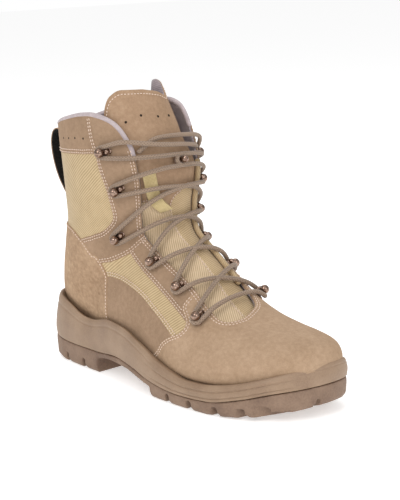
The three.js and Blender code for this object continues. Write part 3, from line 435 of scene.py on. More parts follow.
def tube(name: str, centres: np.ndarray, radius, sides: int, hint=(0, 0, 1)) -> bpy.types.Object:
    """Round cord along centres, closed with domed ends, with uv in mm along and round."""
    c = np.asarray(centres, float)
    r = np.broadcast_to(np.asarray(radius, float), (len(c),)).copy()
    along = np.gradient(c, axis=0)
    along /= np.linalg.norm(along, axis=1)[:, None]
    side = np.array(hint, float)
    rings, uv = [], []
    run = np.r_[0, np.cumsum(np.linalg.norm(np.diff(c, axis=0), axis=1))]
    for i in range(len(c)):
        side = side - along[i] * (side @ along[i])
        side /= max(np.linalg.norm(side), 1e-9)
        other = np.cross(along[i], side)
        for j in range(sides):
            a = 2 * math.pi * j / sides
            rings.append(c[i] + r[i] * (math.cos(a) * side + math.sin(a) * other))
            uv.append((run[i], j * 2 * math.pi * r[i] / sides))
    faces = grid_faces(len(c), sides, closed=True)
    for ring, inward, centre in ((0, True, c[0] - along[0] * r[0] * 0.5), (len(c) - 1, False, c[-1] + along[-1] * r[-1] * 0.5)):
        rings.append(centre)
        uv.append((run[ring], 0))
        for j in range(sides):
            a, b = ring * sides + j, ring * sides + (j + 1) % sides
            faces.append([len(rings) - 1, b, a] if inward else [len(rings) - 1, a, b])
    return outward(mesh_object(name, np.array(rings), faces, np.array(uv)))


def join(name: str, objects: list) -> bpy.types.Object:
    """Joins objects that carry the same material into one."""
    first = objects[0]
    with bpy.context.temp_override(
        active_object=first, object=first, selected_objects=objects, selected_editable_objects=objects,
    ):
        bpy.ops.object.join()
    first.name = name
    return first


def dress(obj: bpy.types.Object, finish) -> bpy.types.Object:
    """Gives an object its finish and lets it ride on the boot."""
    obj.data.materials.clear()
    obj.data.materials.append(finish)
    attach(obj, "root")
    LOG.info("%s: %d faces", obj.name, len(obj.data.polygons))
    return obj


# ------------------------------------------------------------------ finishes
def linear(hex_colour: str) -> tuple:
    """Linear colour of an sRGB hex."""
    values = [int(hex_colour[i:i + 2], 16) / 255 for i in (1, 3, 5)]
    return tuple([v / 12.92 if v <= 0.04045 else ((v + 0.055) / 1.055) ** 2.4 for v in values] + [1.0])


class Shader:
    """A material under construction."""

    def __init__(self, name: str) -> None:
        self.material = bpy.data.materials.new(name)
        self.material.use_nodes = True
        self.tree = self.material.node_tree
        self.tree.nodes.clear()
        self.surface = self.add("ShaderNodeBsdfPrincipled")
        self.add("ShaderNodeOutputMaterial", inputs={"Surface": self.surface.outputs[0]})

    def add(self, kind: str, inputs: dict | None = None, **settings) -> bpy.types.Node:
        """Adds a node with its settings, values and links."""
        node = self.tree.nodes.new(kind)
        for key, value in settings.items():
            setattr(node, key, value)
        for key, value in (inputs or {}).items():
            socket = node.inputs[key]
            if isinstance(value, bpy.types.NodeSocket):
                self.tree.links.new(value, socket)
            else:
                socket.default_value = value
        return node

    def math(self, operation: str, *values):
        """A maths node's result."""
        return self.add("ShaderNodeMath", operation=operation, inputs=dict(enumerate(values))).outputs[0]

    def noise(self, size_mm: float, detail: float = 3.0, vector=None):
        """Noise of a feature size in mm, about 0 to 1."""
        place = vector or self.add("ShaderNodeTexCoord").outputs["Object"]
        node = self.add("ShaderNodeTexNoise", inputs={"Vector": place, "Scale": 1 / (size_mm * MM), "Detail": detail})
        return node.outputs["Fac"]

    def stripes(self, vector, along: tuple, period_mm: float):
        """Sine stripes, 0 to 1, across a direction of the pattern coordinates."""
        length = math.hypot(*along)
        scale = 2 * math.pi / (period_mm * MM) / length
        wave = self.add(
            "ShaderNodeVectorMath", operation="DOT_PRODUCT",
            inputs={0: vector, 1: (along[0] * scale, along[1] * scale, 0)},
        ).outputs["Value"]
        return self.math("MULTIPLY_ADD", self.math("SINE", wave), 0.5, 0.5)

    def ramp(self, factor, *stops):
        """Colour ramp over (position, colour) stops."""
        node = self.add("ShaderNodeValToRGB", inputs={"Fac": factor})
        elements = node.color_ramp.elements
        elements[0].position, elements[0].color = stops[0]
        elements[1].position, elements[1].color = stops[-1]
        for position, colour in stops[1:-1]:
            elements.new(position).color = colour
        return node.outputs["Color"]

    def mix(self, factor, a, b, blend: str = "MIX"):
        """Mixes two colours."""
        node = self.add("ShaderNodeMix", data_type="RGBA", blend_type=blend)
        for socket, value in ((0, factor), (6, a), (7, b)):
            if isinstance(value, bpy.types.NodeSocket):
                self.tree.links.new(value, node.inputs[socket])
            else:
                node.inputs[socket].default_value = value
        return node.outputs[2]

    def finish(self, colour, roughness, height=None, depth_mm: float = 0.1, **plain) -> bpy.types.Material:
        """Connects the surface; plain values go straight on its sockets."""
        values = {"Base Color": colour, "Roughness": roughness, **plain}
        if height is not None:
            bump = self.add("ShaderNodeBump", inputs={"Height": height, "Distance": depth_mm * MM, "Strength": 1.0})
            values["Normal"] = bump.outputs["Normal"]
        for key, value in values.items():
            socket = self.surface.inputs[key]
            if isinstance(value, bpy.types.NodeSocket):
                self.tree.links.new(value, socket)
            else:
                socket.default_value = value
        return self.material


@dataclass(frozen=True)
class Nubuck:
    """Sanded leather: soft mottling, short nap, faint sheen."""

    name: str
    dark: str
    base: str
    light: str
    grain_mm: float = 0.7
    depth_mm: float = 0.09
    roughness: float = 0.86

    def build(self) -> bpy.types.Material:
        """Returns the material."""
        s = Shader(self.name)
        broad, nap, fine = s.noise(26, 4), s.noise(3.2, 5), s.noise(self.grain_mm, 4)
        tone = s.math("ADD", s.math("MULTIPLY", broad, 0.48), s.math("MULTIPLY", nap, 0.52))
        colour = s.ramp(
            tone, (0.34, linear(self.dark)), (0.5, linear(self.base)), (0.66, linear(self.light)),
        )
        speck = s.math("MULTIPLY_ADD", fine, 0.42, 0.79)
        colour = s.mix(1.0, colour, s.add("ShaderNodeCombineColor", inputs={0: speck, 1: speck, 2: speck}).outputs[0], "MULTIPLY")
        height = s.math("ADD", s.math("MULTIPLY", fine, 0.6), s.math("MULTIPLY", nap, 0.9))
        return s.finish(
            colour, self.roughness, height, self.depth_mm,
            **{"Sheen Weight": 0.25, "Sheen Roughness": 0.55, "Sheen Tint": linear(self.light), "Specular IOR Level": 0.25},
        )


@dataclass(frozen=True)
class RibbedTextile:
    """Woven textile with raised diagonal ribs, coloured with painted shade in the grooves and painted light on the
    crests.
    """

    name: str
    groove_shade: str
    base: str
    light: str
    direction: tuple = (0.8, 1.0)
    period_mm: float = 2.0

    def build(self) -> bpy.types.Material:
        """Returns the material."""
        s = Shader(self.name)
        pattern = s.add("ShaderNodeUVMap", uv_map="pattern").outputs["UV"]
        across = (self.direction[1], -self.direction[0])
        rib = s.stripes(pattern, across, self.period_mm)
        weave = s.math("MULTIPLY", s.stripes(pattern, self.direction, 0.9), s.stripes(pattern, across, 0.95))
        height = s.math("ADD", s.math("MULTIPLY", rib, 0.8), s.math("MULTIPLY", weave, 0.3))
        # The rib stripes paint shade into the grooves and light onto the crests; the noise adds random tone.
        tone = s.math("ADD", s.math("MULTIPLY", rib, 0.75), s.math("MULTIPLY", s.noise(9, 3), 0.5))
        colour = s.ramp(
            tone, (0.22, linear(self.groove_shade)), (0.62, linear(self.base)), (0.98, linear(self.light)),
        )
        return s.finish(
            colour, 0.88, height, 0.16, **{"Sheen Weight": 0.15, "Sheen Roughness": 0.5, "Specular IOR Level": 0.25},
        )


@dataclass(frozen=True)
class Weave:
    """Plain woven or knitted cloth, with painted shade between the threads and painted light on their crossings."""

    name: str
    dark: str
    light: str
    thread_mm: float = 0.8
    depth_mm: float = 0.12
    sheen: float = 0.3

    def build(self) -> bpy.types.Material:
        """Returns the material."""
        s = Shader(self.name)
        pattern = s.add("ShaderNodeUVMap", uv_map="pattern").outputs["UV"]
        warp, weft = s.stripes(pattern, (1, 0), self.thread_mm), s.stripes(pattern, (0, 1), self.thread_mm)
        weave = s.math("MULTIPLY", warp, weft)
        # The weave's relief paints shade into the gaps between threads and light onto their crossings; the noise adds
        # random tone.
        tone = s.math("ADD", s.math("MULTIPLY", weave, 0.5), s.math("MULTIPLY", s.noise(5, 4), 0.6))
        colour = s.ramp(tone, (0.2, linear(self.dark)), (0.8, linear(self.light)))
        return s.finish(
            colour, 0.92, weave, self.depth_mm, **{"Sheen Weight": self.sheen, "Specular IOR Level": 0.2},
        )


@dataclass(frozen=True)
class Rubber:
    """Moulded sole rubber, smooth or grained."""

    name: str
    dark: str
    base: str
    light: str
    grain_mm: float = 1.2
    depth_mm: float = 0.05
    roughness: float = 0.55

    def build(self) -> bpy.types.Material:
        """Returns the material."""
        s = Shader(self.name)
        broad, grain = s.noise(22, 4), s.noise(self.grain_mm, 3)
        tone = s.math("ADD", s.math("MULTIPLY", broad, 0.7), s.math("MULTIPLY", grain, 0.3))
        colour = s.ramp(tone, (0.34, linear(self.dark)), (0.5, linear(self.base)), (0.68, linear(self.light)))
        shine = s.math("MULTIPLY_ADD", broad, 0.2, self.roughness - 0.1)
        return s.finish(colour, shine, grain, self.depth_mm, **{"Specular IOR Level": 0.4})


@dataclass(frozen=True)
class Metal:
    """Plated metal, its colour mottled at random between a dark and a light bronze."""

    name: str
    dark: str
    light: str
    roughness: float = 0.22

    def build(self) -> bpy.types.Material:
        """Returns the material."""
        s = Shader(self.name)
        broad = s.noise(2.4, 4)
        colour = s.ramp(broad, (0.3, linear(self.dark)), (0.7, linear(self.light)))
        rough = s.math("MULTIPLY_ADD", s.noise(0.9, 3), 0.18, self.roughness - 0.08)
        return s.finish(colour, rough, broad, 0.01, Metallic=1.0)


@dataclass(frozen=True)
class Braid:
    """Round braided cord, with painted shade between the strands and painted light on their crowns."""

    name: str
    dark: str
    light: str
    pitch_mm: float = 2.6

    def build(self) -> bpy.types.Material:
        """Returns the material."""
        s = Shader(self.name)
        pattern = s.add("ShaderNodeUVMap", uv_map="pattern").outputs["UV"]
        one, two = s.stripes(pattern, (1, 1), self.pitch_mm * 0.7), s.stripes(pattern, (1, -1), self.pitch_mm * 0.7)
        plait = s.math("MAXIMUM", one, two)
        # The plait's relief paints shade between the strands and light on their crowns; the noise adds random tone.
        tone = s.math("ADD", s.math("MULTIPLY", plait, 0.6), s.math("MULTIPLY", s.noise(1.6, 3), 0.4))
        colour = s.ramp(tone, (0.25, linear(self.dark)), (0.75, linear(self.light)))
        return s.finish(colour, 0.8, plait, 0.16, **{"Sheen Weight": 0.2, "Specular IOR Level": 0.3})


@dataclass(frozen=True)
class Plain:
    """One even colour."""

    name: str
    colour: str
    roughness: float = 0.8

    def build(self) -> bpy.types.Material:
        """Returns the material."""
        return Shader(self.name).finish(linear(self.colour), self.roughness, **{"Specular IOR Level": 0.3})


class Finish(Enum):
    """Every finish of the boot."""

    NUBUCK = Nubuck("tan_nubuck", "#8f765f", "#987e66", "#a2876f")
    NUBUCK_VAMP = Nubuck("vamp_nubuck", "#9e8369", "#a88d73", "#b2977d")
    SUEDE_HEEL = Nubuck("rough_heel_nubuck", "#91765d", "#a5896e", "#b5997d", 1.5, 0.25, 0.93)
    TONGUE = Nubuck("tongue_nubuck", "#957a61", "#a08369", "#ab8f75")
    TEXTILE = RibbedTextile("ribbed_sand_textile", "#a08a66", "#bda580", "#c8b18c", (1.3, 1.0), 2.1)
    TEXTILE_TONGUE = RibbedTextile("tongue_sand_textile", "#ab9474", "#c9b191", "#d6bf9f", (0.6, 1.0), 1.9)
    TEXTILE_BEIGE = RibbedTextile("beige_tongue_textile", "#a68e6c", "#b9a07c", "#c5ad89", (1.0, 0.25), 1.5)
    LINING = Weave("grey_knitted_lining", "#857779", "#b3a6a8", 1.1)
    BINDING = Weave("pale_collar_binding", "#a5989a", "#cdbfc0", 0.9, 0.08)
    WEBBING = Weave("sand_webbing", "#b39e70", "#d9c698", 1.2, 0.18, 0.1)
    LOOP_BLACK = Weave("black_loop_tape", "#0d0c0b", "#24211f", 1.2, 0.12, 0.05)
    LOOP_TAN = Nubuck("pull_loop_nubuck", "#9a7e68", "#a98c75", "#b69a82")
    FOOTBED = Weave("footbed_cloth", "#6f6563", "#8d8280", 1.3)
    BRONZE = Metal("dark_bronze_plate", "#6d574b", "#b29888")
    LACE = Braid("braided_lace", "#6f5c4b", "#9a8573")
    THREAD = Plain("sewing_thread", "#dcc6b5", 0.7)
    # Painted shade for the inside of the punched holes.
    HOLE_SHADE = Plain("hole_shadow", "#2c2119", 0.9)
    MIDSOLE = Rubber("satin_midsole_rubber", "#876e59", "#947b64", "#9f866f", 1.2, 0.03, 0.5)
    OUTSOLE = Rubber("grained_outsole_rubber", "#725b4c", "#836b59", "#927a67", 1.5, 0.32, 0.66)

    def material(self) -> bpy.types.Material:
        """The built material, made once."""
        return bpy.data.materials.get(self.value.name) or self.value.build()


# ------------------------------------------------------------------ stitching
class Stitches:
    """Geometry Nodes group that lays thread stitches along paths."""

    def __init__(self) -> None:
        tree = bpy.data.node_groups.new("stitch_row", "GeometryNodeTree")
        face = tree.interface
        face.new_socket("Geometry", in_out="INPUT", socket_type="NodeSocketGeometry")
        for name, default in (("Pitch", 0.0029), ("Stitch length", 0.00205), ("Thread width", 0.00095)):
            socket = face.new_socket(name, in_out="INPUT", socket_type="NodeSocketFloat")
            socket.default_value = default
        face.new_socket("Thread", in_out="INPUT", socket_type="NodeSocketMaterial")
        face.new_socket("Geometry", in_out="OUTPUT", socket_type="NodeSocketGeometry")
        nodes, links = tree.nodes, tree.links
        source, out = nodes.new("NodeGroupInput"), nodes.new("NodeGroupOutput")
        curve = nodes.new("GeometryNodeMeshToCurve")
        even = nodes.new("GeometryNodeResampleCurve")
        even.mode = "LENGTH"
        tangent = nodes.new("GeometryNodeInputTangent")
        turn = nodes.new("FunctionNodeAlignRotationToVector")
        turn.axis = "Z"
        stitch = nodes.new("GeometryNodeMeshUVSphere")
        stitch.inputs["Segments"].default_value = 6
        stitch.inputs["Rings"].default_value = 5
        stitch.inputs["Radius"].default_value = 0.5
        size = nodes.new("ShaderNodeCombineXYZ")
        place = nodes.new("GeometryNodeInstanceOnPoints")
        real = nodes.new("GeometryNodeRealizeInstances")
        paint = nodes.new("GeometryNodeSetMaterial")
        smooth = nodes.new("GeometryNodeSetShadeSmooth")
        for a, b in (
            (source.outputs["Geometry"], curve.inputs["Mesh"]),
            (curve.outputs["Curve"], even.inputs["Curve"]),
            (source.outputs["Pitch"], even.inputs["Length"]),
            (tangent.outputs["Tangent"], turn.inputs["Vector"]),
            (source.outputs["Thread width"], size.inputs["X"]),
            (source.outputs["Thread width"], size.inputs["Y"]),
            (source.outputs["Stitch length"], size.inputs["Z"]),
            (even.outputs["Curve"], place.inputs["Points"]),
            (stitch.outputs["Mesh"], place.inputs["Instance"]),
            (turn.outputs["Rotation"], place.inputs["Rotation"]),
            (size.outputs["Vector"], place.inputs["Scale"]),
            (place.outputs["Instances"], real.inputs["Geometry"]),
            (real.outputs["Geometry"], smooth.inputs["Geometry"]),
            (smooth.outputs["Geometry"], paint.inputs["Geometry"]),
            (source.outputs["Thread"], paint.inputs["Material"]),
            (paint.outputs["Geometry"], out.inputs["Geometry"]),
        ):
            links.new(a, b)
        self.tree = tree

    def sew(self, name: str, paths: list, slot: str = "nubuck", **sizes) -> bpy.types.Object:
        """Lays stitches along paths.

        Args:
            name: object name.
            paths: arrays of points in the boot's axes, mm.
            slot: the record's material slot; not used.
            sizes: values for the group's named inputs, in metres.

        Returns:
            The stitching as a plain mesh.
        """
        points = np.concatenate(paths)
        mesh = bpy.data.meshes.new(name + "_path")
        edges, start = [], 0
        for path in paths:
            edges += [(start + i, start + i + 1) for i in range(len(path) - 1)]
            start += len(path)
        mesh.from_pydata(to_frame(points).tolist(), edges, [])
        host = bpy.data.objects.new(name + "_path", mesh)
        bpy.context.scene.collection.objects.link(host)
        modifier = host.modifiers.new("stitches", "NODES")
        modifier.node_group = self.tree
        values = {"Thread": Finish.THREAD.material(), **sizes}
        for item in self.tree.interface.items_tree:
            if item.in_out == "INPUT" and item.name in values:
                modifier[item.identifier] = values[item.name]
        graph = bpy.context.evaluated_depsgraph_get()
        made = bpy.data.meshes.new_from_object(host.evaluated_get(graph))
        host.modifiers.remove(modifier)
        bpy.data.objects.remove(host)
        made.name = name
        obj = bpy.data.objects.new(name, made)
        bpy.context.scene.collection.objects.link(obj)
        return dress(obj, Finish.THREAD.material())


# ------------------------------------------------------------------ panels
@dataclass
class Panel:
    """A cut piece that lies on the upper's surface: its outline in places, top level and thickness."""

    name: str
    outline: np.ndarray
    finish: Finish
    level: float = 0.3
    thickness: float = 1.0
    slot: str = "nubuck"
    spacing: float = 2.4
    metric: tuple = (15.0, 230.0)
    depth: object = None      # extra level as a function of (row, turn)
    flat_uv: str = "shaft"
    creased: bool = True

    EDGE = ((0.0, 0.42), (0.16, 0.13), (0.5, 0.0))    # inset and drop of the rounded edge, mm

    def build(self, surface: Surface) -> bpy.types.Object:
        """Returns the dressed panel."""
        scale = np.array(self.metric)
        ring = self.outline
        if np.linalg.norm((ring[0] - ring[-1]) * scale) < 0.3:
            ring = ring[:-1]
        ring = resample(np.vstack([ring, ring[:1]]) * scale, self.spacing * 0.62)[:-1]
        area = 0.5 * np.sum(ring[:, 0] * np.roll(ring[:, 1], -1) - np.roll(ring[:, 0], -1) * ring[:, 1])
        if area < 0:
            ring = ring[::-1]
        rings = [self._inset(surface, ring / scale, inset) for inset, _ in self.EDGE]
        inner = rings[-1] * scale
        low, high = inner.min(0), inner.max(0)
        step = self.spacing
        xs, ys = np.arange(low[0], high[0], step), np.arange(low[1], high[1], step)
        grid = np.array([(x + (0.5 * step if j % 2 else 0), y) for j, y in enumerate(ys) for x in xs])
        grid = grid[inside_polygon(grid, inner)]
        grid = grid[edge_distance(grid, inner) > step * 0.45]
        n = len(inner)
        loops = [Vector(p) for p in inner.tolist()] + [Vector(p) for p in grid.tolist()]
        verts, _, tris, origin, _, _ = delaunay_2d_cdt(loops, [], [list(range(n))], 1, 1e-5)
        index = {}
        for k, sources in enumerate(origin):
            for source in sources:
                index.setdefault(source, k)
        flat = np.array([tuple(v) for v in verts]) / scale
        border = [index.get(i, 0) for i in range(n)]
        count = len(flat)
        places = [flat, rings[1], rings[0]]
        drops = [0.0, self.EDGE[1][1], self.EDGE[0][1]]
        tops, uvs = [], []
        for place, drop in zip(places, drops):
            level = self.level - drop + self._extra(place)
            tops.append(surface.at(place[:, 0], place[:, 1], level, plain=not self.creased))
            uvs.append(self._uv(surface, place))
        bottoms = []
        for place in (flat, rings[0]):
            level = self.level - self.thickness + self._extra(place)
            bottoms.append(surface.at(place[:, 0], place[:, 1], level, plain=not self.creased))
        points = np.vstack(tops + bottoms)
        uv = np.vstack(uvs + [uvs[0], uvs[2]])
        mid, rim = count, count + n
        floor, foot = count + 2 * n, 2 * count + 2 * n
        faces = [list(t) for t in tris]
        turned = _signed(flat[faces[0]] * scale) < 0
        if turned:
            faces = [f[::-1] for f in faces]
        faces += [[floor + i for i in f[::-1]] for f in faces]
        for i in range(n):
            j = (i + 1) % n
            faces.append([border[i], mid + i, mid + j, border[j]])
            faces.append([mid + i, rim + i, rim + j, mid + j])
            faces.append([rim + i, foot + i, foot + j, rim + j])
            faces.append([foot + i, floor + border[i], floor + border[j], foot + j])
        obj = outward(mesh_object(self.name, points, faces, uv))
        return dress(obj, self.finish.material())

    def _inset(self, surface: Surface, ring: np.ndarray, distance: float) -> np.ndarray:
        if distance == 0:
            return ring.copy()
        wrapped = np.vstack([ring[-3:], ring, ring[:3]])
        moved = surface.move(wrapped, distance * self._side(surface, ring))
        return moved[3:-3]

    def _side(self, surface: Surface, ring: np.ndarray) -> float:
        # The surface turns (row, turn) over, so a ring that runs anticlockwise in the pattern has its
        # inside on the right when it is seen from outside.
        return -1.0

    def _extra(self, place: np.ndarray) -> np.ndarray:
        return np.zeros(len(place)) if self.depth is None else self.depth(place[:, 0], place[:, 1])

    def _uv(self, surface: Surface, place: np.ndarray) -> np.ndarray:
        base = surface.bare(place[:, 0], place[:, 1])
        if self.flat_uv == "side":
            return base[:, [0, 2]]
        if self.flat_uv == "tongue":
            across = surface.girth(place[:, 0], place[:, 1], 0.5)
            return np.stack([across, np.interp(place[:, 0], surface.rows, surface.climb)], 1)
        return np.stack([surface.girth(place[:, 0], place[:, 1], 0.0), base[:, 2]], 1)


def _signed(triangle: np.ndarray) -> float:
    a, b, c = triangle[:3]
    return (b[0] - a[0]) * (c[1] - a[1]) - (b[1] - a[1]) * (c[0] - a[0])


PATTERN = np.array([15.0, 230.0])     # mm for one row and for one turn, for spacing along edges


def edge(points, step: float = 1.2) -> np.ndarray:
    """Smooth edge through places."""
    return smooth_path(np.asarray(points, float) * PATTERN, step) / PATTERN


def mirrored(path: np.ndarray) -> np.ndarray:
    """The same edge on the other side."""
    return path * np.array([1, -1])


# Edges of the lateral side's pieces, as row and place round the section
BAND_SEAM = ((19.42, 0.0), (19.38, 0.08), (19.28, 0.165), (19.16, 0.232), (18.98, 0.285))
EYESTAY_REAR = (
    (20.42, 0.266), (19.9, 0.265), (19.33, 0.267), (19.03, 0.271), (18.46, 0.273), (17.82, 0.277),
    (16.69, 0.284), (15.8, 0.291), (15.23, 0.294), (14.98, 0.290), (14.86, 0.28), (14.80, 0.267),
    (15.1, 0.246), (15.4, 0.211), (15.72, 0.168),
)
STRAP_LOWER = ((13.5, 0.232), (13.28, 0.250), (12.72, 0.271), (12.2, 0.312), (12.13, 0.34))
COUNTER_FRONT = (
    (17.2, 0.0), (17.1, 0.06), (16.8, 0.12), (16.3, 0.172), (15.16, 0.222), (13.98, 0.250), (13.31, 0.254),
    (12.45, 0.253), (12.1, 0.250), (11.6, 0.239), (11.2, 0.216), (10.86, 0.178), (10.6, 0.13),
)
QUARTER_TOP = (
    (12.75, 0.238), (12.45, 0.249), (11.9, 0.261), (11.24, 0.273), (10.49, 0.284), (9.81, 0.29),
    (9.0, 0.291), (8.18, 0.29), (7.67, 0.286), (7.3, 0.282),
)
TEXTILE_FRONT = ((12.6, 0.306), (12.08, 0.312), (10.15, 0.326), (8.71, 0.332), (7.71, 0.333), (7.1, 0.333))
VAMP_REAR = (
    (8.55, 0.10), (8.4, 0.16), (8.02, 0.25), (7.7, 0.282), (7.48, 0.298), (7.36, 0.318),
    (7.46, 0.333), (7.72, 0.3395), (7.92, 0.344), (8.03, 0.352), (8.06, 0.372),
)


class Upper:
    """The leather, textile and lining pieces of the upper, and their seams."""

    def __init__(self, surface: Surface, stitches: Stitches) -> None:
        self.surface = surface
        self.stitches = stitches
        self.seams: list = []
        self.covers: dict = {}

    def throat(self, side: int, low: float, high: float) -> np.ndarray:
        """Throat edge between two rows; side 1 is lateral and -1 medial, as unwrapped turns."""
        rows = np.linspace(low, high, max(int(abs(high - low) / 0.08), 2))
        turns = self.surface.throat_lateral(rows) if side > 0 else 1 - self.surface.throat_medial(rows)
        return np.stack([rows, turns * side], 1)

    def collar(self, start: float, end: float, drop: float = 0.0) -> np.ndarray:
        """Collar line between two unwrapped turns."""
        turns = np.linspace(start, end, max(int(abs(end - start) * 190), 2))
        return np.stack([self.surface.collar_rows(turns, drop), turns], 1)

    def collar_end(self, side: int) -> tuple:
        """Place where the collar meets the throat edge."""
        rows = np.linspace(16.5, 21, 400)
        turns = self.surface.throat_lateral(rows) if side > 0 else 1 - self.surface.throat_medial(rows)
        gap = self.surface.collar_rows(turns * side) - rows
        i = int(np.argmin(np.abs(gap)))
        return rows[i], turns[i] * side

    def on(self, path, side: int) -> np.ndarray:
        """An edge table as a path on one side."""
        made = edge(path)
        return made if side > 0 else mirrored(made)

    def double_seam(self, path: np.ndarray, inside: int, level: float, gaps=(1.3, 3.5), under=()) -> None:
        """Rows of stitches beside an edge, cut where another panel covers them.

        Args:
            path: the edge, as places.
            inside: 1 for the edge's left and -1 for its right.
            level: level of the panel that is sewn.
            gaps: distance of each row from the edge, mm.
            under: outlines of the panels that lie over this one.
        """
        for gap in gaps:
            moved = self.surface.move(path, gap * inside)
            seen = np.ones(len(moved), bool)
            for outline in under:
                seen &= ~inside_polygon(moved * PATTERN, outline * PATTERN)
            points = self.surface.at(moved[:, 0], moved[:, 1], level + 0.16)
            for run in np.split(np.arange(len(points)), np.flatnonzero(np.diff(seen.astype(int))) + 1):
                if seen[run[0]] and len(run) > 2:
                    self.seams.append(points[run])

    def build(self) -> None:
        """Builds every piece."""
        self.shell()
        self.textiles()
        self.collar_band()
        self.counter()
        self.vamp()
        for side in (1, -1):
            self.side_panels(side)
        self.binding()
        self.throat_edging()
        self.stitches.sew("seam_stitching", self.seams)

    def shell(self) -> None:
        """Hollow lined wall under the panels; it stands for the CAD upper."""
        s = self.surface
        lateral_row, lateral_turn = self.collar_end(1)
        medial_row, medial_turn = self.collar_end(-1)
        outline = np.vstack([
            self.throat(1, 6.4, lateral_row),
            self.collar(lateral_turn, medial_turn)[1:-1],
            self.throat(-1, medial_row, 6.4),
            edge([(6.4, -0.30), (6.5, -0.13), (9, -0.12), (12, -0.11), (13.3, -0.07), (13.85, 0),
                  (13.3, 0.07), (12, 0.11), (9, 0.12), (6.5, 0.13), (6.4, 0.30)]),
        ])
        panel = Panel("lined_shell", outline, Finish.LINING, level=-0.85, slot="lining", spacing=2.8)
        scale = np.array(panel.metric)
        ring = resample(np.vstack([outline, outline[:1]]) * scale, 2.0)[:-1]
        grid = np.array([(x, y) for x in np.arange(ring[:, 0].min(), ring[:, 0].max(), 2.8)
                         for y in np.arange(ring[:, 1].min(), ring[:, 1].max(), 2.8)])
        grid = grid[inside_polygon(grid, ring)]
        grid = grid[edge_distance(grid, ring) > 1.2]
        n = len(ring)
        verts, _, tris, origin, _, _ = delaunay_2d_cdt(
            [Vector(p) for p in np.vstack([ring, grid]).tolist()], [], [list(range(n))], 1, 1e-5)
        index = {source: k for k, sources in enumerate(origin) for source in sources}
        border = [index[i] for i in range(n)]
        flat = np.array([tuple(v) for v in verts]) / scale
        count = len(flat)
        wall = s.wall(flat[:, 0], flat[:, 1])
        outer = s.at(flat[:, 0], flat[:, 1], -0.85)
        inner = s.at(flat[:, 0], flat[:, 1], -wall)
        uv = panel._uv(s, flat)
        faces = [list(t) for t in tris]
        faces += [[count + i for i in f[::-1]] for f in faces]
        for i in range(n):
            j = (i + 1) % n
            faces.append([border[i], count + border[i], count + border[j], border[j]])
        shell = outward(mesh_object("lined_shell", np.vstack([outer, inner]), faces, np.vstack([uv, uv])))
        dress(shell, Finish.LINING.material())
        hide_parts("upper")

    def textiles(self) -> None:
        """Ribbed textile behind the shaft, and on each quarter."""
        s = self.surface
        half = np.vstack([
            edge([(19.75, 0.0), (19.7, 0.15), (19.5, 0.27), (19.2, 0.292)]),
            edge([(18.0, 0.297), (16, 0.312), (15.0, 0.314), (14.5, 0.305)]),
            edge([(14.5, 0.25), (14.9, 0.2), (15.6, 0.14), (16.4, 0.06), (16.5, 0.0)]),
        ])
        outline = np.vstack([half, mirrored(half)[::-1][1:-1]])
        Panel("shaft_textile", outline, Finish.TEXTILE, level=-0.15, thickness=0.6).build(s)
        for side, name in ((1, "lateral"), (-1, "medial")):
            path = np.vstack([
                edge([(13.65, 0.222), (13.55, 0.26), (13.1, 0.3), (12.7, 0.335)]),
                edge([(10.2, 0.348), (8.7, 0.354), (7.45, 0.352), (7.15, 0.33), (7.2, 0.30)]),
                edge([(7.6, 0.268), (8.2, 0.272), (9, 0.274), (9.8, 0.273), (10.5, 0.267), (11.2, 0.256), (11.9, 0.243)]),
            ])
            path = path if side > 0 else mirrored(path)
            Panel(f"{name}_quarter_textile", path, Finish.TEXTILE, level=-0.1, thickness=0.6, flat_uv="side").build(s)

    def collar_band(self) -> None:
        """Nubuck band below the collar binding, round the back."""
        seam = self.on(BAND_SEAM, 1)
        lower = np.vstack([mirrored(seam)[::-1], seam[1:]])
        upper = self.collar(0.285, -0.285, 1.2)
        outline = np.vstack([lower, upper])
        Panel("collar_band", outline, Finish.NUBUCK, level=0.3, thickness=1.2).build(self.surface)
        inner = np.vstack([mirrored(seam)[::-1], seam[1:]])
        inner = inner[np.abs(inner[:, 1]) < 0.266]
        self.double_seam(inner, 1, 0.3, (1.3, 3.6))
        holes = [(19.76, 0.177), (19.75, 0.204), (19.74, 0.229), (19.70, 0.252)]
        self.punch("collar_holes", holes + [(row, -turn) for row, turn in holes], 0.3, 0.9)

    def punch(self, name: str, places: list, level, radius: float) -> None:
        """Small punched holes with a turned-in rim, each a disc painted dark as the shade inside the hole."""
        s, sides = self.surface, 12
        points, faces = [], []
        for row, turn in places:
            lift = level(np.array([row]), np.array([turn]))[0] if callable(level) else level
            centre = s.at(row, turn, lift)[0]
            normal = s.normal(row, turn)[0]
            side = np.cross(normal, (0, 0, 1.0))
            side /= np.linalg.norm(side)
            other = np.cross(normal, side)
            start = len(points)
            for ring_radius, height in ((radius * 1.1, -0.15), (radius, 0.05), (radius * 0.5, 0.06)):
                for j in range(sides):
                    a = 2 * math.pi * j / sides
                    points.append(centre + normal * height + ring_radius * (math.cos(a) * side + math.sin(a) * other))
            points.append(centre + normal * 0.06)
            faces += grid_faces(3, sides, closed=True, start=start)
            for j in range(sides):
                faces.append([start + 2 * sides + j, start + 2 * sides + (j + 1) % sides, len(points) - 1])
        obj = mesh_object(name, np.array(points), faces)
        normal = obj.data.polygons[0].normal.copy()
        outward_hint = self.surface.normal(*places[0])[0]
        if normal.dot(Vector(outward_hint)) < 0 and np.dot(outward_hint, outward_hint) > 0:
            obj.data.flip_normals()
        dress(obj, Finish.HOLE_SHADE.material())

    def counter(self) -> None:
        """Rough nubuck heel counter."""
        front = self.on(COUNTER_FRONT, 1)
        base = edge([(10.6, 0.13), (11.5, 0.115), (12.5, 0.10), (13.3, 0.07), (13.85, 0.02), (13.9, 0.0)])
        half = np.vstack([front, base[1:]])
        outline = np.vstack([half, mirrored(half)[::-1][1:-1]])
        self.covers["counter"] = outline
        Panel("heel_counter", outline, Finish.SUEDE_HEEL, level=0.65, thickness=1.5).build(self.surface)
        whole = np.vstack([mirrored(front)[::-1], front[1:]])
        self.double_seam(whole, -1, 0.65, (1.5,))

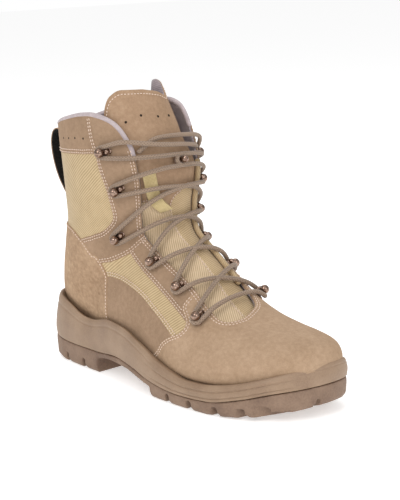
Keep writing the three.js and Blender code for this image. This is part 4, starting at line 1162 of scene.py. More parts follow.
    def vamp(self) -> None:
        """One-piece vamp over the toes, with tabs beside the lowest hooks."""
        s = self.surface
        rear = edge(VAMP_REAR)
        lateral_throat = np.array([(row, turn) for row, turn in self.throat(1, 8.04, 6.02)])
        medial_throat = np.array([(row, 1 + turn) for row, turn in self.throat(-1, 6.02, 8.04)])
        medial_rear = np.stack([rear[::-1, 0], 1 - rear[::-1, 1]], 1)
        tip = edge([(8.5, 0.9), (7, 0.905), (5, 0.91), (3, 0.90), (1, 0.88), (0.15, 0.86)])
        across = np.array([(0.12, turn) for turn in np.linspace(0.8, 0.2, 40)])
        back = np.stack([tip[::-1, 0], 1 - tip[::-1, 1]], 1)
        outline = np.vstack([rear, lateral_throat, medial_throat, medial_rear, tip[1:], across, back[:-1]])
        self.covers["vamp"] = outline
        self.covers["vamp_medial"] = outline * np.array([1, 1]) - np.array([0, 1])
        Panel(
            "vamp", outline, Finish.NUBUCK_VAMP, level=0.45, thickness=2.6, spacing=2.3, metric=(19.0, 250.0),
        ).build(s)
        side_seam = rear[rear[:, 1] > 0.135]
        self.double_seam(side_seam, -1, 0.45)
        self.double_seam(np.stack([side_seam[::-1, 0], 1 - side_seam[::-1, 1]], 1), -1, 0.45)
        around = np.vstack([self.throat(1, 8.0, 6.02), np.stack([
            self.throat(-1, 6.02, 8.0)[:, 0], 1 + self.throat(-1, 6.02, 8.0)[:, 1]], 1)])
        self.double_seam(smooth_path(around * PATTERN, 1.2) / PATTERN, -1, 0.45, (1.6, 4.0))

    def side_panels(self, side: int) -> None:
        """Eyestay with its ankle strap, instep facing and lower quarter of one side."""
        s = self.surface
        name = "lateral" if side > 0 else "medial"
        end_row, end_turn = self.collar_end(side)
        rear = self.on(EYESTAY_REAR, side)
        strap = self.on(STRAP_LOWER, side)
        edge_turn = s.throat_lateral(12.1) if side > 0 else 1 - s.throat_medial(12.1)
        strap = np.vstack([strap, [[12.1, float(edge_turn) * side]]])
        top = self.collar(rear[0, 1], end_turn, 1.2)
        front = self.throat(side, end_row - 0.1, 12.1)
        under = edge([(13.5, 0.232), (14.3, 0.2), (15.2, 0.165), (15.72, 0.168)])[1:-1]
        under = under if side > 0 else mirrored(under)
        outline = np.vstack([top, front[1:], strap[::-1][1:], under, rear[::-1][:-1]])
        Panel(f"{name}_eyestay", outline, Finish.NUBUCK, level=0.4, thickness=1.25).build(s)
        counter = self.covers["counter"]
        over = [counter, outline, self.covers["vamp"], self.covers["vamp_medial"]]
        self.double_seam(rear, side, 0.4, under=[counter])
        self.double_seam(strap, side, 0.4, under=[counter])
        self.double_seam(front[::-1], side, 0.4, (1.6, 3.8))

        facing_rear = self.on(TEXTILE_FRONT, side)
        facing_front = self.throat(side, 12.4, 7.5)
        outline = np.vstack([facing_front, facing_rear[::-1]])
        Panel(f"{name}_instep_facing", outline, Finish.NUBUCK, level=0.2, thickness=1.0).build(s)
        self.double_seam(facing_rear, side, 0.2, under=over)
        self.double_seam(facing_front[::-1], side, 0.2, (1.6, 3.8), under=over)

        quarter_top = self.on(QUARTER_TOP, side)
        low = edge([(7.3, 0.282), (7.6, 0.2), (7.9, 0.13), (9, 0.12), (11, 0.125), (11.5, 0.15), (12.2, 0.2), (12.75, 0.238)])
        low = low if side > 0 else mirrored(low)
        outline = np.vstack([quarter_top, low[1:-1]])
        Panel(f"{name}_lower_quarter", outline, Finish.NUBUCK, level=0.15, thickness=1.0).build(s)
        self.double_seam(quarter_top, side, 0.15, under=over)

    def throat_edging(self) -> None:
        """Ribbed edging rolled along the inside of the medial throat edge."""
        s = self.surface
        rows = np.linspace(17.6, 7.6, 150)
        turns = s.throat_medial(rows) - 0.013
        centre = s.at(rows, turns, -1.5)
        obj = tube("medial_throat_edging", smooth_path(centre, 1.5), 2.5, 12, (1, 0, 0))
        dress(obj, Finish.TEXTILE_BEIGE.material())

    def binding(self) -> None:
        """Padded binding rolled over the collar's edge."""
        s = self.surface
        lateral_row, lateral_turn = self.collar_end(1)
        medial_row, medial_turn = self.collar_end(-1)
        places = np.vstack([
            self.throat(1, lateral_row - 0.6, lateral_row),
            self.collar(lateral_turn, medial_turn)[1:-1],
            self.throat(-1, medial_row, medial_row - 0.6),
        ])
        places = smooth_path(places[::3] * PATTERN, 1.4) / PATTERN
        wall = s.wall(places[:, 0], places[:, 1])
        centre = s.at(places[:, 0], places[:, 1], -wall / 2)
        normal = s.normal(places[:, 0], places[:, 1])
        along = np.gradient(centre, axis=0)
        along /= np.linalg.norm(along, axis=1)[:, None]
        up = np.cross(normal, along)
        up *= np.sign(up[len(up) // 2, 2])
        sides = 14
        rings, uv = [], []
        run = np.r_[0, np.cumsum(np.linalg.norm(np.diff(centre, axis=0), axis=1))]
        fade = np.minimum(1, np.minimum(run, run[-1] - run) / 3 + 0.55)
        for i in range(len(centre)):
            for j in range(sides):
                a = 2 * math.pi * j / sides
                across, rise = math.cos(a) * (wall[i] / 2 + 0.75) * fade[i], math.sin(a) * 2.3 * fade[i]
                rings.append(centre[i] + normal[i] * across + up[i] * (rise - 0.9))
                uv.append((run[i], a * 2.6))
        faces = grid_faces(len(centre), sides, closed=True)
        faces += [list(range(sides))[::-1], list(range((len(centre) - 1) * sides, len(centre) * sides))]
        obj = outward(mesh_object("collar_binding", np.array(rings), faces, np.array(uv)))
        dress(obj, Finish.BINDING.material())


# ------------------------------------------------------------------ tongue
class Tongue:
    """Padded tongue with a nubuck face above, a ribbed textile face below, and its keeper."""

    def __init__(self, surface: Surface, stitches: Stitches) -> None:
        self.surface = surface
        self.stitches = stitches
        self.lateral = through(TONGUE_EDGES, 1)
        self.medial = through(TONGUE_EDGES, 2)
        self.top = through(TONGUE_TOP, 1)

    def level(self, row, turn) -> np.ndarray:
        """Level of the tongue's face under the surface, its medial side leaning in near the top."""
        inset = TONGUE_MEDIAL_INSET * smoothstep(row, 17.5, 19.6) * smoothstep(turn, 0.51, 0.6)
        return -self.surface.wall(row, turn) - TONGUE_CLEARANCE - inset

    def build(self) -> None:
        """Builds the tongue and what is sewn to it."""
        self.padding()
        self.faces()
        self.keeper()

    def padding(self) -> None:
        """Lined, padded body of the tongue."""
        rises, columns = 72, 56
        grid_row, grid_turn, thick = [], [], []
        for i in range(rises + 1):
            for j in range(columns + 1):
                across = -1 + 2 * j / columns
                row = 5.75 + (float(self.top(across)) - 5.75) * i / rises
                left, right = float(self.lateral(row)), float(self.medial(row))
                turn = left + (right - left) * (across + 1) / 2
                rim = max(abs(across), 1 - min(i, rises - i) / 6)
                grid_row.append(row)
                grid_turn.append(turn)
                thick.append(5.0 + (1.6 - 5.0) * float(smoothstep(rim, 0.7, 1)))
        row, turn, thick = map(np.array, (grid_row, grid_turn, thick))
        level = self.level(row, turn)
        face = self.surface.at(row, turn, level - 0.55, plain=True)
        back = self.surface.at(row, turn, level - thick, plain=True)
        count = len(face)
        columns += 1
        faces = grid_faces(rises + 1, columns) + grid_faces(rises + 1, columns, start=count, flip=True)
        rim = list(range(columns)) + [i * columns + columns - 1 for i in range(1, rises)]
        rim += list(range(rises * columns, (rises + 1) * columns))[::-1]
        rim += [i * columns for i in range(rises - 1, 0, -1)]
        for a, b in zip(rim, rim[1:] + rim[:1]):
            faces.append([b, a, count + a, count + b])
        uv = np.stack([turn * 235, row * 13], 1)
        obj = outward(mesh_object("tongue_padding", np.vstack([face, back]), faces, np.vstack([uv, uv])))
        dress(obj, Finish.LINING.material())
        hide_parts("tongue")

    def rim(self, low: float) -> tuple:
        """Edges and top of the tongue above a row, going up the lateral edge and down the medial one."""
        def place(across: float, row: float) -> tuple:
            left, right = float(self.lateral(row)), float(self.medial(row))
            return row, left + (right - left) * (across + 1) / 2
        left = [place(-1, row) for row in np.linspace(low, float(self.top(-1)), 90)]
        over = [place(a, float(self.top(a))) for a in np.linspace(-1, 1, 90)[1:-1]]
        right = [place(1, row) for row in np.linspace(float(self.top(1)), low, 90)]
        return np.array(left), np.array(over), np.array(right)

    def faces(self) -> None:
        """Nubuck and textile faces, their stitching and the punched holes."""
        s = self.surface
        left, over, right = self.rim(15.2)
        bottom = edge([
            (15.2, right[-1, 1]), (15.25, 0.56), (15.2, 0.522), (14.4, 0.50), (13.5, 0.482), (12.9, 0.474),
            (13.3, 0.462), (14.1, 0.435), (14.6, 0.40), (15.2, left[0, 1]),
        ])
        outline = np.vstack([left, over, right, bottom[1:-1]])
        Panel(
            "tongue_leather", outline, Finish.TONGUE, level=0.0, thickness=0.9, slot="tongue_leather",
            depth=self.level, metric=(14.0, 230.0), creased=False,
        ).build(s)
        whole = np.vstack([left, over, right])
        path = smooth_path(whole[::2] * PATTERN, 1.2) / PATTERN
        seams = []
        for line, gap in ((path, 3.6), (bottom[3:-3], 1.5)):
            moved = s.move(line, -gap)
            seams.append(s.at(moved[:, 0], moved[:, 1], self.level(moved[:, 0], moved[:, 1]) + 0.16, plain=True))
        middle = np.stack([np.linspace(12.6, 6.3, 60), np.full(60, 0.472)], 1)
        seams.append(s.at(middle[:, 0], middle[:, 1], self.level(middle[:, 0], middle[:, 1]), plain=True))
        self.stitches.sew("tongue_stitching", seams, "tongue_leather")
        for name, finish, low, high, level in (
            ("tongue_textile", Finish.TEXTILE_TONGUE, self.lateral, lambda r: np.full(len(r), 0.49), -0.28),
            ("tongue_side_textile", Finish.TEXTILE_BEIGE, lambda r: np.full(len(r), 0.4765), self.medial, -0.12),
        ):
            rows = np.linspace(15.7, 5.8, 120)
            ring = np.vstack([
                np.stack([rows, low(rows) + 0.003], 1),
                np.stack([rows[::-1], high(rows[::-1]) - 0.003], 1),
            ])
            Panel(
                name, ring, finish, level=level, thickness=0.5, slot="tongue_leather", depth=self.level,
                metric=(14.0, 230.0), creased=False, flat_uv="tongue",
            ).build(s)
        upper = Upper(s, self.stitches)
        upper.punch(
            "tongue_holes", [(20.29, 0.387), (20.56, 0.450), (20.43, 0.497), (20.41, 0.520)],
            self.level, 1.1,
        )

    def keeper(self) -> None:
        """Webbing keeper with a folded loop below it."""
        places = np.array([
            (16.95, 0.410, 1.0), (16.5, 0.411, 1.2), (15.6, 0.414, 1.0), (15.0, 0.417, 1.1), (14.6, 0.422, 2.0),
            (14.15, 0.430, 3.3), (13.7, 0.441, 3.7), (13.35, 0.450, 3.0), (13.2, 0.454, 1.9), (13.4, 0.450, 0.9),
            (14.0, 0.435, 0.7), (14.6, 0.421, 0.8),
        ])
        scale = np.array([*PATTERN, 1.0])
        path = smooth_path(places * scale, 0.8) / scale
        level = self.level(path[:, 0], path[:, 1]) + path[:, 2]
        centre = self.surface.at(path[:, 0], path[:, 1], level, plain=True)
        normal = self.surface.normal(path[:, 0], path[:, 1])
        down = centre[len(centre) // 2] - centre[0]
        across = np.cross(normal[len(normal) // 3], down / np.linalg.norm(down))
        across /= np.linalg.norm(across)
        obj = tape("lace_keeper_webbing", centre, across, 11.2, 0.9)
        dress(obj, Finish.WEBBING.material())
        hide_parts("lace_keeper")


def tape(name: str, centre: np.ndarray, across: np.ndarray, width: float, thickness: float) -> bpy.types.Object:
    """Flat tape along a path, with rounded long edges and uv in mm across and along."""
    along = np.gradient(centre, axis=0)
    along /= np.linalg.norm(along, axis=1)[:, None]
    section = []
    half, thick = width / 2, thickness / 2
    for a in np.linspace(-math.pi / 2, math.pi / 2, 7):
        section.append((half - thick + thick * math.cos(a), thick * math.sin(a)))
    spread = [(y, thick) for y in np.linspace(half - thick, -half + thick, 7)[1:-1]]
    back = [(-y, -z) for y, z in section]
    section = section + spread + back + [(-y, -z) for y, z in spread]
    rings, uv = [], []
    run = np.r_[0, np.cumsum(np.linalg.norm(np.diff(centre, axis=0), axis=1))]
    for i in range(len(centre)):
        out = np.cross(along[i], across)
        out /= np.linalg.norm(out)
        for y, z in section:
            rings.append(centre[i] + across * y + out * z)
            uv.append((y, run[i]))
    count = len(section)
    faces = grid_faces(len(centre), count, closed=True)
    faces += [list(range(count))[::-1], list(range((len(centre) - 1) * count, len(centre) * count))]
    return outward(mesh_object(name, np.array(rings), faces, np.array(uv)))


# ------------------------------------------------------------------ sole
class Sole:
    """Cup midsole with its foxing, the lugged outsole and the insole."""

    STATIONS = 120
    LIP = 2.2               # reach of the cup's top edge inward from the outline, mm
    # share of the cup's height and how far it stands out there, mm
    PROFILE = ((0, -0.4), (0.04, -0.05), (0.12, 0.2), (0.4, 0.6), (0.72, -0.2), (0.93, -1.3), (1.0, -2.2))
    # share of the cup's height and how far the heel leans forward there, mm
    TUCK = ((0, 0), (0.12, 0), (0.4, 2), (0.72, 4), (0.93, 5), (1.0, 5.5))
    # share of the height, depth in mm and half width as a share of the forefoot grooves
    GROOVES = ((0.2, 0.8, 0.03), (0.62, 0.55, 0.035))

    def __init__(self) -> None:
        self.joint = through(JOINT_LINE, 1)
        self.foxing = through(FOXING_LINE, 1)
        self.outline = np.array(OUTLINE, float)

    def curve(self, u: np.ndarray) -> np.ndarray:
        """Points of the closed plan outline at curve parameters."""
        p, count = self.outline, len(self.outline)
        made = []
        for value in np.mod(u, 1) * count:
            i, w = int(value), value - int(value)
            a, b, c, d = (p[(i + k - 1) % count] for k in range(4))
            t0, t1, t2 = (max(np.linalg.norm(e - s), 1e-4) ** 0.5 for s, e in ((a, b), (b, c), (c, d)))
            m1 = ((b - a) / t0 - (c - a) / (t0 + t1) + (c - b) / t1) * t1
            m2 = ((c - b) / t1 - (d - b) / (t1 + t2) + (d - c) / t2) * t1
            made.append(b + m1 * w + (-3 * b + 3 * c - 2 * m1 - m2) * w * w + (2 * b - 2 * c + m1 + m2) * w ** 3)
        return np.array(made)

    def ring(self) -> tuple:
        """Plan points once round from the heel by the lateral side, and their outward directions."""
        toe = TOE_ROW / len(self.outline)
        i = np.arange(self.STATIONS + 1) / self.STATIONS
        along = i + 0.35 * ((1 - np.cos(np.pi * i)) / 2 - i)
        u = np.r_[toe * along, (1 - (1 - toe) * along)[::-1][1:-1]]
        points = self.curve(u)
        ahead = self.curve(u + 1e-3) - self.curve(u - 1e-3)
        ahead /= np.linalg.norm(ahead, axis=1)[:, None]
        return points, np.stack([ahead[:, 1], -ahead[:, 0]], 1)

    def midsole(self) -> None:
        """Moulded cup with its grooves and rolled top edge."""
        points, out = self.ring()
        centre = points.mean(0)
        if np.sum((points - centre) * out) < 0:
            out = -out
        x = points[:, 0]
        joint, top = self.joint(x), self.foxing(x)
        profile, tuck = through(self.PROFILE, 1), through(self.TUCK, 1)
        shares = np.r_[np.linspace(0, 0.93, 34), 0.955, 0.975, 0.99, 1.0]
        rings = []
        front = smoothstep(x, 150, 185) * (1 - smoothstep(x, 292, 304))
        heel = 1 - smoothstep(x, 60, 84)
        for share in shares:
            inset = np.full(len(x), float(profile(share)))
            for place, depth, width in self.GROOVES:
                inset -= front * depth * math.exp(-((share - place) / width) ** 2)
            inset += front * 0.5 * float(smoothstep(share, 0.62, 0.7)) * (1 - float(smoothstep(share, 0.9, 1)))
            inset -= heel * 0.6 * math.exp(-((share - 0.78) / 0.02) ** 2)
            inset -= (1 - front) * (1 - heel) * 0.5 * math.exp(-((share - 0.8) / 0.025) ** 2)
            rings.append(self._place(points, out, inset, joint + (top - joint) * share, float(tuck(share))))
        inner = 4.6 + 3.2 * smoothstep(x, 120, 190)
        for extra, drop in ((0.35, 0.25), (0.9, 0.5), (1.0, 6.0)):
            reach = -self.LIP - (inner - self.LIP) * extra
            rings.append(self._place(points, out, reach, top - drop, self.TUCK[-1][1]))
        count = len(x)
        faces = grid_faces(len(rings), count, closed=True)
        verts = np.vstack(rings)
        faces += self._cap(0, count, False)
        faces += self._cap((len(rings) - 1) * count, count, True)
        uv = np.tile(np.stack([x, points[:, 1]], 1), (len(rings), 1))
        obj = outward(mesh_object("midsole_cup", verts, faces, uv))
        dress(obj, Finish.MIDSOLE.material())
        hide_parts("midsole")

    def _place(self, points: np.ndarray, out: np.ndarray, inset: np.ndarray, z, tuck: float) -> np.ndarray:
        """One level of the cup: plan points moved outward by inset, with the heel leaning forward by tuck."""
        moved = points + out * inset[:, None]
        shift = tuck * (1 - smoothstep(moved[:, 0], -4, 46))
        return np.stack([moved[:, 0] + shift, moved[:, 1], z], 1)

    def _cap(self, start: int, count: int, up: bool) -> list:
        """Quads across a ring, station by station."""
        half = count // 2
        lateral = [start + i for i in range(half + 1)]
        medial = [start] + [start + count - i for i in range(1, half)] + [start + half]
        faces = []
        for i in range(half):
            quad = [lateral[i], lateral[i + 1], medial[i + 1], medial[i]]
            quad = list(dict.fromkeys(quad))
            faces.append(quad if up else quad[::-1])
        return faces

    def outsole(self) -> None:
        """Lugged outsole with moulded, rounded edges."""
        obj = copy_node("outsole", "outsole_lugs")
        remesh = obj.modifiers.new("moulding", "REMESH")
        remesh.mode, remesh.voxel_size = "VOXEL", 0.00095
        smooth = obj.modifiers.new("round", "SMOOTH")
        smooth.factor, smooth.iterations = 0.5, 4
        thin = obj.modifiers.new("thin", "DECIMATE")
        thin.ratio = 0.42
        bake_modifiers(obj)
        dress(obj, Finish.OUTSOLE.material())
        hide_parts("outsole")

    def insole(self) -> None:
        """Footbed inside the boot."""
        obj = copy_node("insole", "footbed")
        bevel = obj.modifiers.new("edge", "BEVEL")
        bevel.width, bevel.segments, bevel.limit_method = 0.0006, 2, "ANGLE"
        bake_modifiers(obj)
        co = np.array([v.co for v in obj.data.vertices])
        layer = obj.data.uv_layers.new(name="pattern")
        for loop in obj.data.loops:
            layer.data[loop.index].uv = co[loop.vertex_index][:2]
        dress(obj, Finish.FOOTBED.material())
        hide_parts("insole")


def copy_node(node: str, name: str) -> bpy.types.Object:
    """A separate copy of a CAD node's mesh."""
    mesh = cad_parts[node].data.copy()
    mesh.name = name
    obj = bpy.data.objects.new(name, mesh)
    bpy.context.scene.collection.objects.link(obj)
    return obj


def bake_modifiers(obj: bpy.types.Object) -> None:
    """Turns an object's modifiers into its plain mesh, shaded smooth."""
    graph = bpy.context.evaluated_depsgraph_get()
    made = bpy.data.meshes.new_from_object(obj.evaluated_get(graph))
    obj.modifiers.clear()
    old, obj.data = obj.data, made
    bpy.data.meshes.remove(old)
    made.polygons.foreach_set("use_smooth", [True] * len(made.polygons))


# ------------------------------------------------------------------ hooks and lace
class HookKind(Enum):
    """What stands beside a hook's ball."""

    BALL = "a smaller ball on a stud"
    RING = "an upright ring"
    STUD = "nothing"


@dataclass(frozen=True)
class HookSizes:
    """Sizes of a speed hook, mm."""

    seat: float = 4.4
    neck: float = 1.5
    stand: float = 8.0
    ball: float = 3.9
    reach: float = 5.2
    stud: float = 2.3
    stud_stand: float = 3.7
    lift: float = 0.5


class Hook:
    """One riveted hook at a place of the upper or tongue."""

    def __init__(self, surface: Surface, row: float, turn: float, depth: float = 0.0) -> None:
        self.seat = surface.at(row, turn, -depth, plain=True)[0]
        self.normal = surface.normal(row, turn)[0]
        inner = surface.at(row, turn + (0.48 - turn) * 0.25, -depth, plain=True)[0]
        toward = inner - self.seat
        toward -= self.normal * (toward @ self.normal)
        self.toward = toward / np.linalg.norm(toward)
        self.up = np.cross(self.normal, self.toward)
        self.raised = 1 if self.up[2] >= 0 else -1

    def beside(self, across: float, along: float, stand: float = 4.5) -> np.ndarray:
        """A point beside the hook, across toward the throat and along its up direction."""
        return self.seat + self.normal * stand + self.toward * across + self.up * along

    def ring(self) -> list:
        """Half turn of lace round the outer side, from the lower side to the upper side."""
        loop = LACE_LOOP
        return [
            self.beside(loop * math.cos(math.radians(a)), self.raised * loop * math.sin(math.radians(a)))
            for a in (-95, -135, 180, 135, 95)
        ]

    def lathe(self, base: np.ndarray, axis: np.ndarray, profile: tuple, sides: int = 20) -> tuple:
        """Points and faces of a turned shape: profile rows are (radius, height)."""
        side = np.cross(axis, (0.3, 0.2, 0.93))
        side /= np.linalg.norm(side)
        other = np.cross(axis, side)
        points = []
        for radius, height in profile:
            for j in range(sides):
                a = 2 * math.pi * j / sides
                points.append(base + axis * height + radius * (math.cos(a) * side + math.sin(a) * other))
        faces = grid_faces(len(profile), sides, closed=True)
        faces.append(list(range(sides))[::-1])
        faces.append(list(range((len(profile) - 1) * sides, len(profile) * sides)))
        return points, faces

    def build(self, name: str, node: str, sizes: HookSizes, kind: HookKind = HookKind.BALL) -> None:
        """Builds the hook as one metal piece."""
        base = self.seat + self.normal * sizes.lift

        def ball(radius: float) -> tuple:
            turns = np.linspace(0.08, math.pi - 0.08, 14)
            return tuple((math.sin(t) * radius, -math.cos(t) * radius) for t in turns)

        def disc(radius: float) -> tuple:
            return ((radius - 0.4, -0.3), (radius, 0.1), (radius, 0.55), (radius - 0.5, 1.0), (sizes.neck, 1.25))
        flare = tuple((sizes.neck * (1 + 0.8 * math.exp(-h / 1.2)), h) for h in np.linspace(0.6, sizes.stand, 9))
        parts = [self.lathe(base, self.normal, disc(sizes.seat)), self.lathe(base, self.normal, flare, 16)]
        if kind is HookKind.STUD:
            head = base + self.normal * (sizes.stand + 1.2)
            parts.append(self.lathe(head, self.normal, ball(sizes.ball), 24))
        else:
            head = base + self.normal * (sizes.stand - sizes.lift)
            foot = base + self.toward * sizes.reach
            parts.append(self.lathe(head, self.normal, ball(sizes.ball), 24))
            parts.append(self.lathe(foot, self.normal, disc(2.7), 18))
            if kind is HookKind.RING:
                ring = [foot + self.normal * (3.6 + 2.6 * math.cos(a)) + self.toward * 2.4 * math.sin(a)
                        for a in np.linspace(0, 2 * math.pi, 25)[:-1]]
                parts.append(_torus(ring, 0.95, self.up))
            else:
                parts.append(self.lathe(foot, self.normal, ((1.3, 0.5), (1.0, 1.6), (1.0, sizes.stud_stand)), 14))
                parts.append(self.lathe(foot + self.normal * sizes.stud_stand, self.normal, ball(sizes.stud), 18))
        points, faces = [], []
        for some, these in parts:
            start = len(points)
            points += list(some)
            faces += [[start + i for i in f] for f in these]
        obj = mesh_object(name, np.array(points), faces)
        fix_normals(obj)
        dress(obj, Finish.BRONZE.material())
        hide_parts(node)


def _torus(centres: list, radius: float, axis: np.ndarray, sides: int = 10) -> tuple:
    """Closed tube through a ring of centres."""
    c = np.array(centres)
    points = []
    for i in range(len(c)):
        along = c[(i + 1) % len(c)] - c[i - 1]
        along /= np.linalg.norm(along)
        other = np.cross(along, axis)
        for j in range(sides):
            a = 2 * math.pi * j / sides
            points.append(c[i] + radius * (math.cos(a) * axis + math.sin(a) * other))
    faces = grid_faces(len(c), sides, closed=True)
    last = (len(c) - 1) * sides
    faces += [[last + j, last + (j + 1) % sides, (j + 1) % sides, j] for j in range(sides)]
    return points, faces


def fix_normals(obj: bpy.types.Object) -> None:
    """Turns every shell of a mesh outward."""
    import bmesh
    bm = bmesh.new()
    bm.from_mesh(obj.data)
    bmesh.ops.recalc_face_normals(bm, faces=bm.faces)
    bm.to_mesh(obj.data)
    bm.free()


class Lacing:
    """Hooks, the lace that runs through them and its two ends."""

    STAND = 4.5
    ON_TONGUE = 0.9
    ENDS = {
        "lateral": ((19.35, 0.35, 5), (19.3, 0.374, 5), (19.1, 0.42, 4.2), (18.9, 0.47, 3), (18.7, 0.528, 1.6),
                    (18.6, 0.57, 0.6), (18.55, 0.6, -0.6)),
        "medial": ((18.9, 0.64, 4.8), (19.1, 0.605, 3.6), (19.25, 0.55, 1.5), (19.3, 0.46, -0.9),
                   (19.05, 0.43, -1.2), (18.7, 0.396, -1.2)),
    }

    def __init__(self, surface: Surface) -> None:
        self.surface = surface
        depth = WALL + TONGUE_CLEARANCE
        self.hooks = {}
        for i, (lateral_row, lateral_turn, medial_row, medial_turn) in enumerate(HOOKS):
            self.hooks["lateral", i] = Hook(surface, lateral_row, lateral_turn)
            self.hooks["medial", i] = Hook(surface, medial_row, medial_turn)
        self.tongue_hook = Hook(surface, *TONGUE_HOOK, depth)

    def place(self, side: str, index: int) -> tuple:
        """Row and place round the section of a hook."""
        row = HOOKS[index]
        return (row[0], row[1]) if side == "lateral" else (row[2], row[3])

    def crossing(self, start_place, end_place, start, end, on_tongue: float | None = None, ease: float = 2) -> list:
        """Lace between two hooks, up over the throat edges and down on the tongue."""
        on_tongue = self.ON_TONGUE if on_tongue is None else on_tongue
        share = np.arange(1, 6) / 6
        row = start_place[0] + (end_place[0] - start_place[0]) * share
        turn = start_place[1] + (end_place[1] - start_place[1]) * share
        level = self.STAND + (on_tongue - self.STAND) * np.sin(np.pi * share) ** 2
        points = self.surface.at(row, turn, level, plain=True)
        first = start - self.surface.at(*start_place, self.STAND, plain=True)[0]
        last = end - self.surface.at(*end_place, self.STAND, plain=True)[0]
        return list(points + np.outer((1 - share) ** ease, first) + np.outer(share ** ease, last))

    def tongue_turn(self, side: str) -> list:
        """Lace round the tongue hook on the far side from the hooks it joins."""
        hook = self.tongue_hook

        def flat(axis):
            axis = np.array(axis, float)
            axis -= hook.normal * (axis @ hook.normal)
            return axis / np.linalg.norm(axis)
        sideways, upward = flat((0, 1 if side == "lateral" else -1, 0)), flat((0, 0, 1))
        height, loop = 0.35 + 0.9 + LACE_RADIUS + 1.5, 1.5 + LACE_RADIUS + 1
        return [
            hook.seat + hook.normal * height
            + loop * (sideways * math.cos(math.radians(a)) + upward * math.sin(math.radians(a)))
            for a in (-80, -40, 0, 40, 80)
        ]

    def path(self, side: str) -> np.ndarray:
        """Lace from the bottom hook on one side to the top hook on the same side."""
        other = "medial" if side == "lateral" else "lateral"
        stops = [(side if i % 2 == 0 else other, index) for i, index in enumerate((5, 4, 3, 2, 1))]
        points = list(self.hooks[stops[0]].ring())
        for before, after in zip(stops, stops[1:]):
            turn = self.hooks[after].ring()
            points += self.crossing(self.place(*before), self.place(*after), points[-1], turn[0]) + turn
        tongue = self.tongue_turn(side)
        last = self.hooks[side, 0].ring()
        points += self.crossing(self.place(*stops[-1]), TONGUE_HOOK, points[-1], tongue[0], self.STAND, 1) + tongue
        points += self.crossing(TONGUE_HOOK, self.place(side, 0), tongue[-1], last[0], self.STAND, 1) + last
        return np.array(points)

    def build(self) -> None:
        """Builds the hooks, the lace and its ends."""
        for (side, index), hook in self.hooks.items():
            kind = HookKind.RING if index == len(HOOKS) - 1 else HookKind.BALL
            hook.build(f"{side}_speed_hook_{index + 1}", f"{side}_hook_{index + 1}", HookSizes(), kind)
        self.tongue_hook.build("tongue_speed_hook", "tongue_hook", HookSizes(ball=3.0), HookKind.STUD)
        low, high = self.hooks["lateral", 5].ring()[0], self.hooks["medial", 5].ring()[0]
        bar = np.array([low] + self.crossing(self.place("lateral", 5), self.place("medial", 5), low, high) + [high])
        paths = [smooth_path(p, 1.3) for p in (bar, self.path("lateral"), self.path("medial"))]
        cords = [tube(f"lace_{i}", p, LACE_RADIUS, 14) for i, p in enumerate(paths)]
        for cord in cords:
            cord.data.materials.append(Finish.LACE.material())
        lace = join("lace_through_hooks", cords)
        dress(lace, Finish.LACE.material())
        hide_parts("lace")
        for side, rows in self.ENDS.items():
            table = np.array(rows, float)
            top = self.hooks[side, 0]
            beside = [top.beside(across, top.raised * LACE_LOOP) for across in (0.7, 3)]
            route = self.surface.at(table[:, 0], table[:, 1], table[:, 2], plain=True)
            points = smooth_path(np.vstack([beside, route]), 1.3)
            end = tube(f"lace_end_{side}_cord", points, LACE_RADIUS, 14)
            dress(end, Finish.LACE.material())
            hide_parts(f"lace_end_{side}")


# ------------------------------------------------------------------ pull loop
class PullLoop:
    """Webbing loop at the back seam, black inside with a nubuck outer band."""

    width = 26.0

    def build(self) -> None:
        """Builds the tape and its outer band."""
        path = np.array([(x, 0.0, z) for x, z in PULL_LOOP_PATH])
        centre = smooth_path(path, 1.2)
        along = np.gradient(centre, axis=0)
        along /= np.linalg.norm(along, axis=1)[:, None]
        out = np.cross(along, (0, 1, 0))
        if out[len(out) // 2, 0] > 0:
            out = -out
        self.band("pull_loop_tape", centre, out, -0.85, 0.5, self.width, Finish.LOOP_BLACK, True)
        self.band("pull_loop_facing", centre, out, 0.5, 1.25, self.width + 0.6, Finish.LOOP_TAN, False)

    def band(self, name, centre, out, low, high, width, finish, stands: bool) -> None:
        """One layer of the loop, with rounded long edges."""
        section = []
        half, middle, thick = width / 2, (low + high) / 2, (high - low) / 2
        for a in np.linspace(-math.pi / 2, math.pi / 2, 7):
            section.append((half - thick + thick * math.cos(a), middle + thick * math.sin(a)))
        section += [(-y, z) for y, z in section[::-1]]
        rings = [c + np.array([0, y, 0]) + o * z for c, o in zip(centre, out) for y, z in section]
        run = np.r_[0, np.cumsum(np.linalg.norm(np.diff(centre, axis=0), axis=1))]
        uv = [(y, r) for r in run for y, _ in section]
        count = len(section)
        faces = grid_faces(len(centre), count, closed=True)
        faces += [list(range(count))[::-1], list(range((len(centre) - 1) * count, len(centre) * count))]
        obj = outward(mesh_object(name, np.array(rings), faces, np.array(uv)))
        dress(obj, finish.material())
        if stands:
            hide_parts("pull_loop")


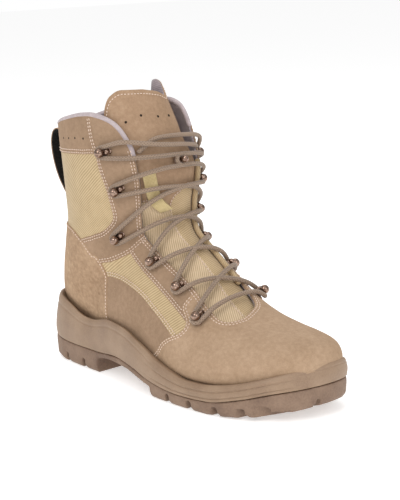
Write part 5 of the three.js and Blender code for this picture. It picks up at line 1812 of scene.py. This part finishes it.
# ------------------------------------------------------------------ stage
class Stage:
    """Pale floor, soft lights and the camera."""

    azimuth, elevation, roll = 46.967, 12.104, -1.597
    distance = 1183.7
    target = (20.3, 1.14, 115.5)
    lens = 103.49
    # name, place in m, size in m and power in W
    LIGHTS = (
        ("key", (0.5, -1.4, 1.5), 1.1, 15), ("front", (1.6, -0.2, 0.9), 1.0, 7),
        ("top", (-0.2, 0.2, 2.0), 1.4, 8), ("back_rim", (-1.2, 0.9, 1.2), 1.0, 5),
    )
    LIT_SPOT = (0.02, 0, 0.1)

    def build(self) -> None:
        """Builds the stage."""
        scene = bpy.context.scene
        world = bpy.data.worlds.new("studio")
        scene.world = world
        world.use_nodes = True
        tree = world.node_tree
        tree.nodes.clear()
        seen, lit = tree.nodes.new("ShaderNodeBackground"), tree.nodes.new("ShaderNodeBackground")
        seen.inputs["Strength"].default_value, lit.inputs["Strength"].default_value = 1.0, 0.55
        choice, path = tree.nodes.new("ShaderNodeMixShader"), tree.nodes.new("ShaderNodeLightPath")
        output = tree.nodes.new("ShaderNodeOutputWorld")
        for shader in (seen, lit):
            shader.inputs["Color"].default_value = (1, 1, 1, 1)
        tree.links.new(path.outputs["Is Camera Ray"], choice.inputs[0])
        tree.links.new(lit.outputs[0], choice.inputs[1])
        tree.links.new(seen.outputs[0], choice.inputs[2])
        tree.links.new(choice.outputs[0], output.inputs[0])
        scene.view_settings.view_transform = "Standard"
        mesh = bpy.data.meshes.new("floor")
        size = 6.0
        mesh.from_pydata([(-size, -size, 0), (size, -size, 0), (size, size, 0), (-size, size, 0)], [], [[0, 1, 2, 3]])
        floor = bpy.data.objects.new("floor", mesh)
        floor.data.materials.append(Shader("white_studio_floor").finish(
            (0.9, 0.9, 0.9, 1), 0.95,
            **{"Emission Color": (1, 1, 1, 1), "Emission Strength": 0.46, "Specular IOR Level": 0.0},
        ))
        scene.collection.objects.link(floor)
        for name, place, size, power in self.LIGHTS:
            self.light(name, place, size, power)
        self.camera()

    def light(self, name: str, place: tuple, size: float, power: float) -> None:
        """A square soft light aimed at the boot."""
        data = bpy.data.lights.new(name, "AREA")
        data.size, data.energy = size, power
        obj = bpy.data.objects.new(name, data)
        obj.location = place
        obj.rotation_euler = (Vector(self.LIT_SPOT) - Vector(place)).to_track_quat("-Z", "Y").to_euler()
        bpy.context.scene.collection.objects.link(obj)

    def camera(self) -> None:
        """Camera at the boot's three-quarter view."""
        a, e, r = (math.radians(v) for v in (self.azimuth, self.elevation, self.roll))
        back = Vector((math.sin(a) * math.cos(e), -math.cos(a) * math.cos(e), math.sin(e)))
        right = Vector((math.cos(a), math.sin(a), 0))
        up = back.cross(right)
        right, up = right * math.cos(r) + up * math.sin(r), up * math.cos(r) - right * math.sin(r)
        data = bpy.data.cameras.new("camera")
        data.lens, data.sensor_width = self.lens, 36
        data.clip_start, data.clip_end = 0.05, 50
        camera = bpy.data.objects.new("camera", data)
        place = (Vector(self.target) + back * self.distance) * MM
        matrix = Matrix((right, up, back)).transposed().to_4x4()
        matrix.translation = place
        camera.matrix_world = matrix
        bpy.context.scene.collection.objects.link(camera)
        bpy.context.scene.camera = camera


def main() -> None:
    """Builds the boot piece by piece, then the stage."""
    logging.basicConfig(level=logging.INFO)
    surface = Surface()
    stitches = Stitches()
    sole = Sole()
    sole.outsole()
    sole.midsole()
    sole.insole()
    Upper(surface, stitches).build()
    Tongue(surface, stitches).build()
    PullLoop().build()
    Lacing(surface).build()
    Stage().build()


if __name__ == "__main__":
    main()
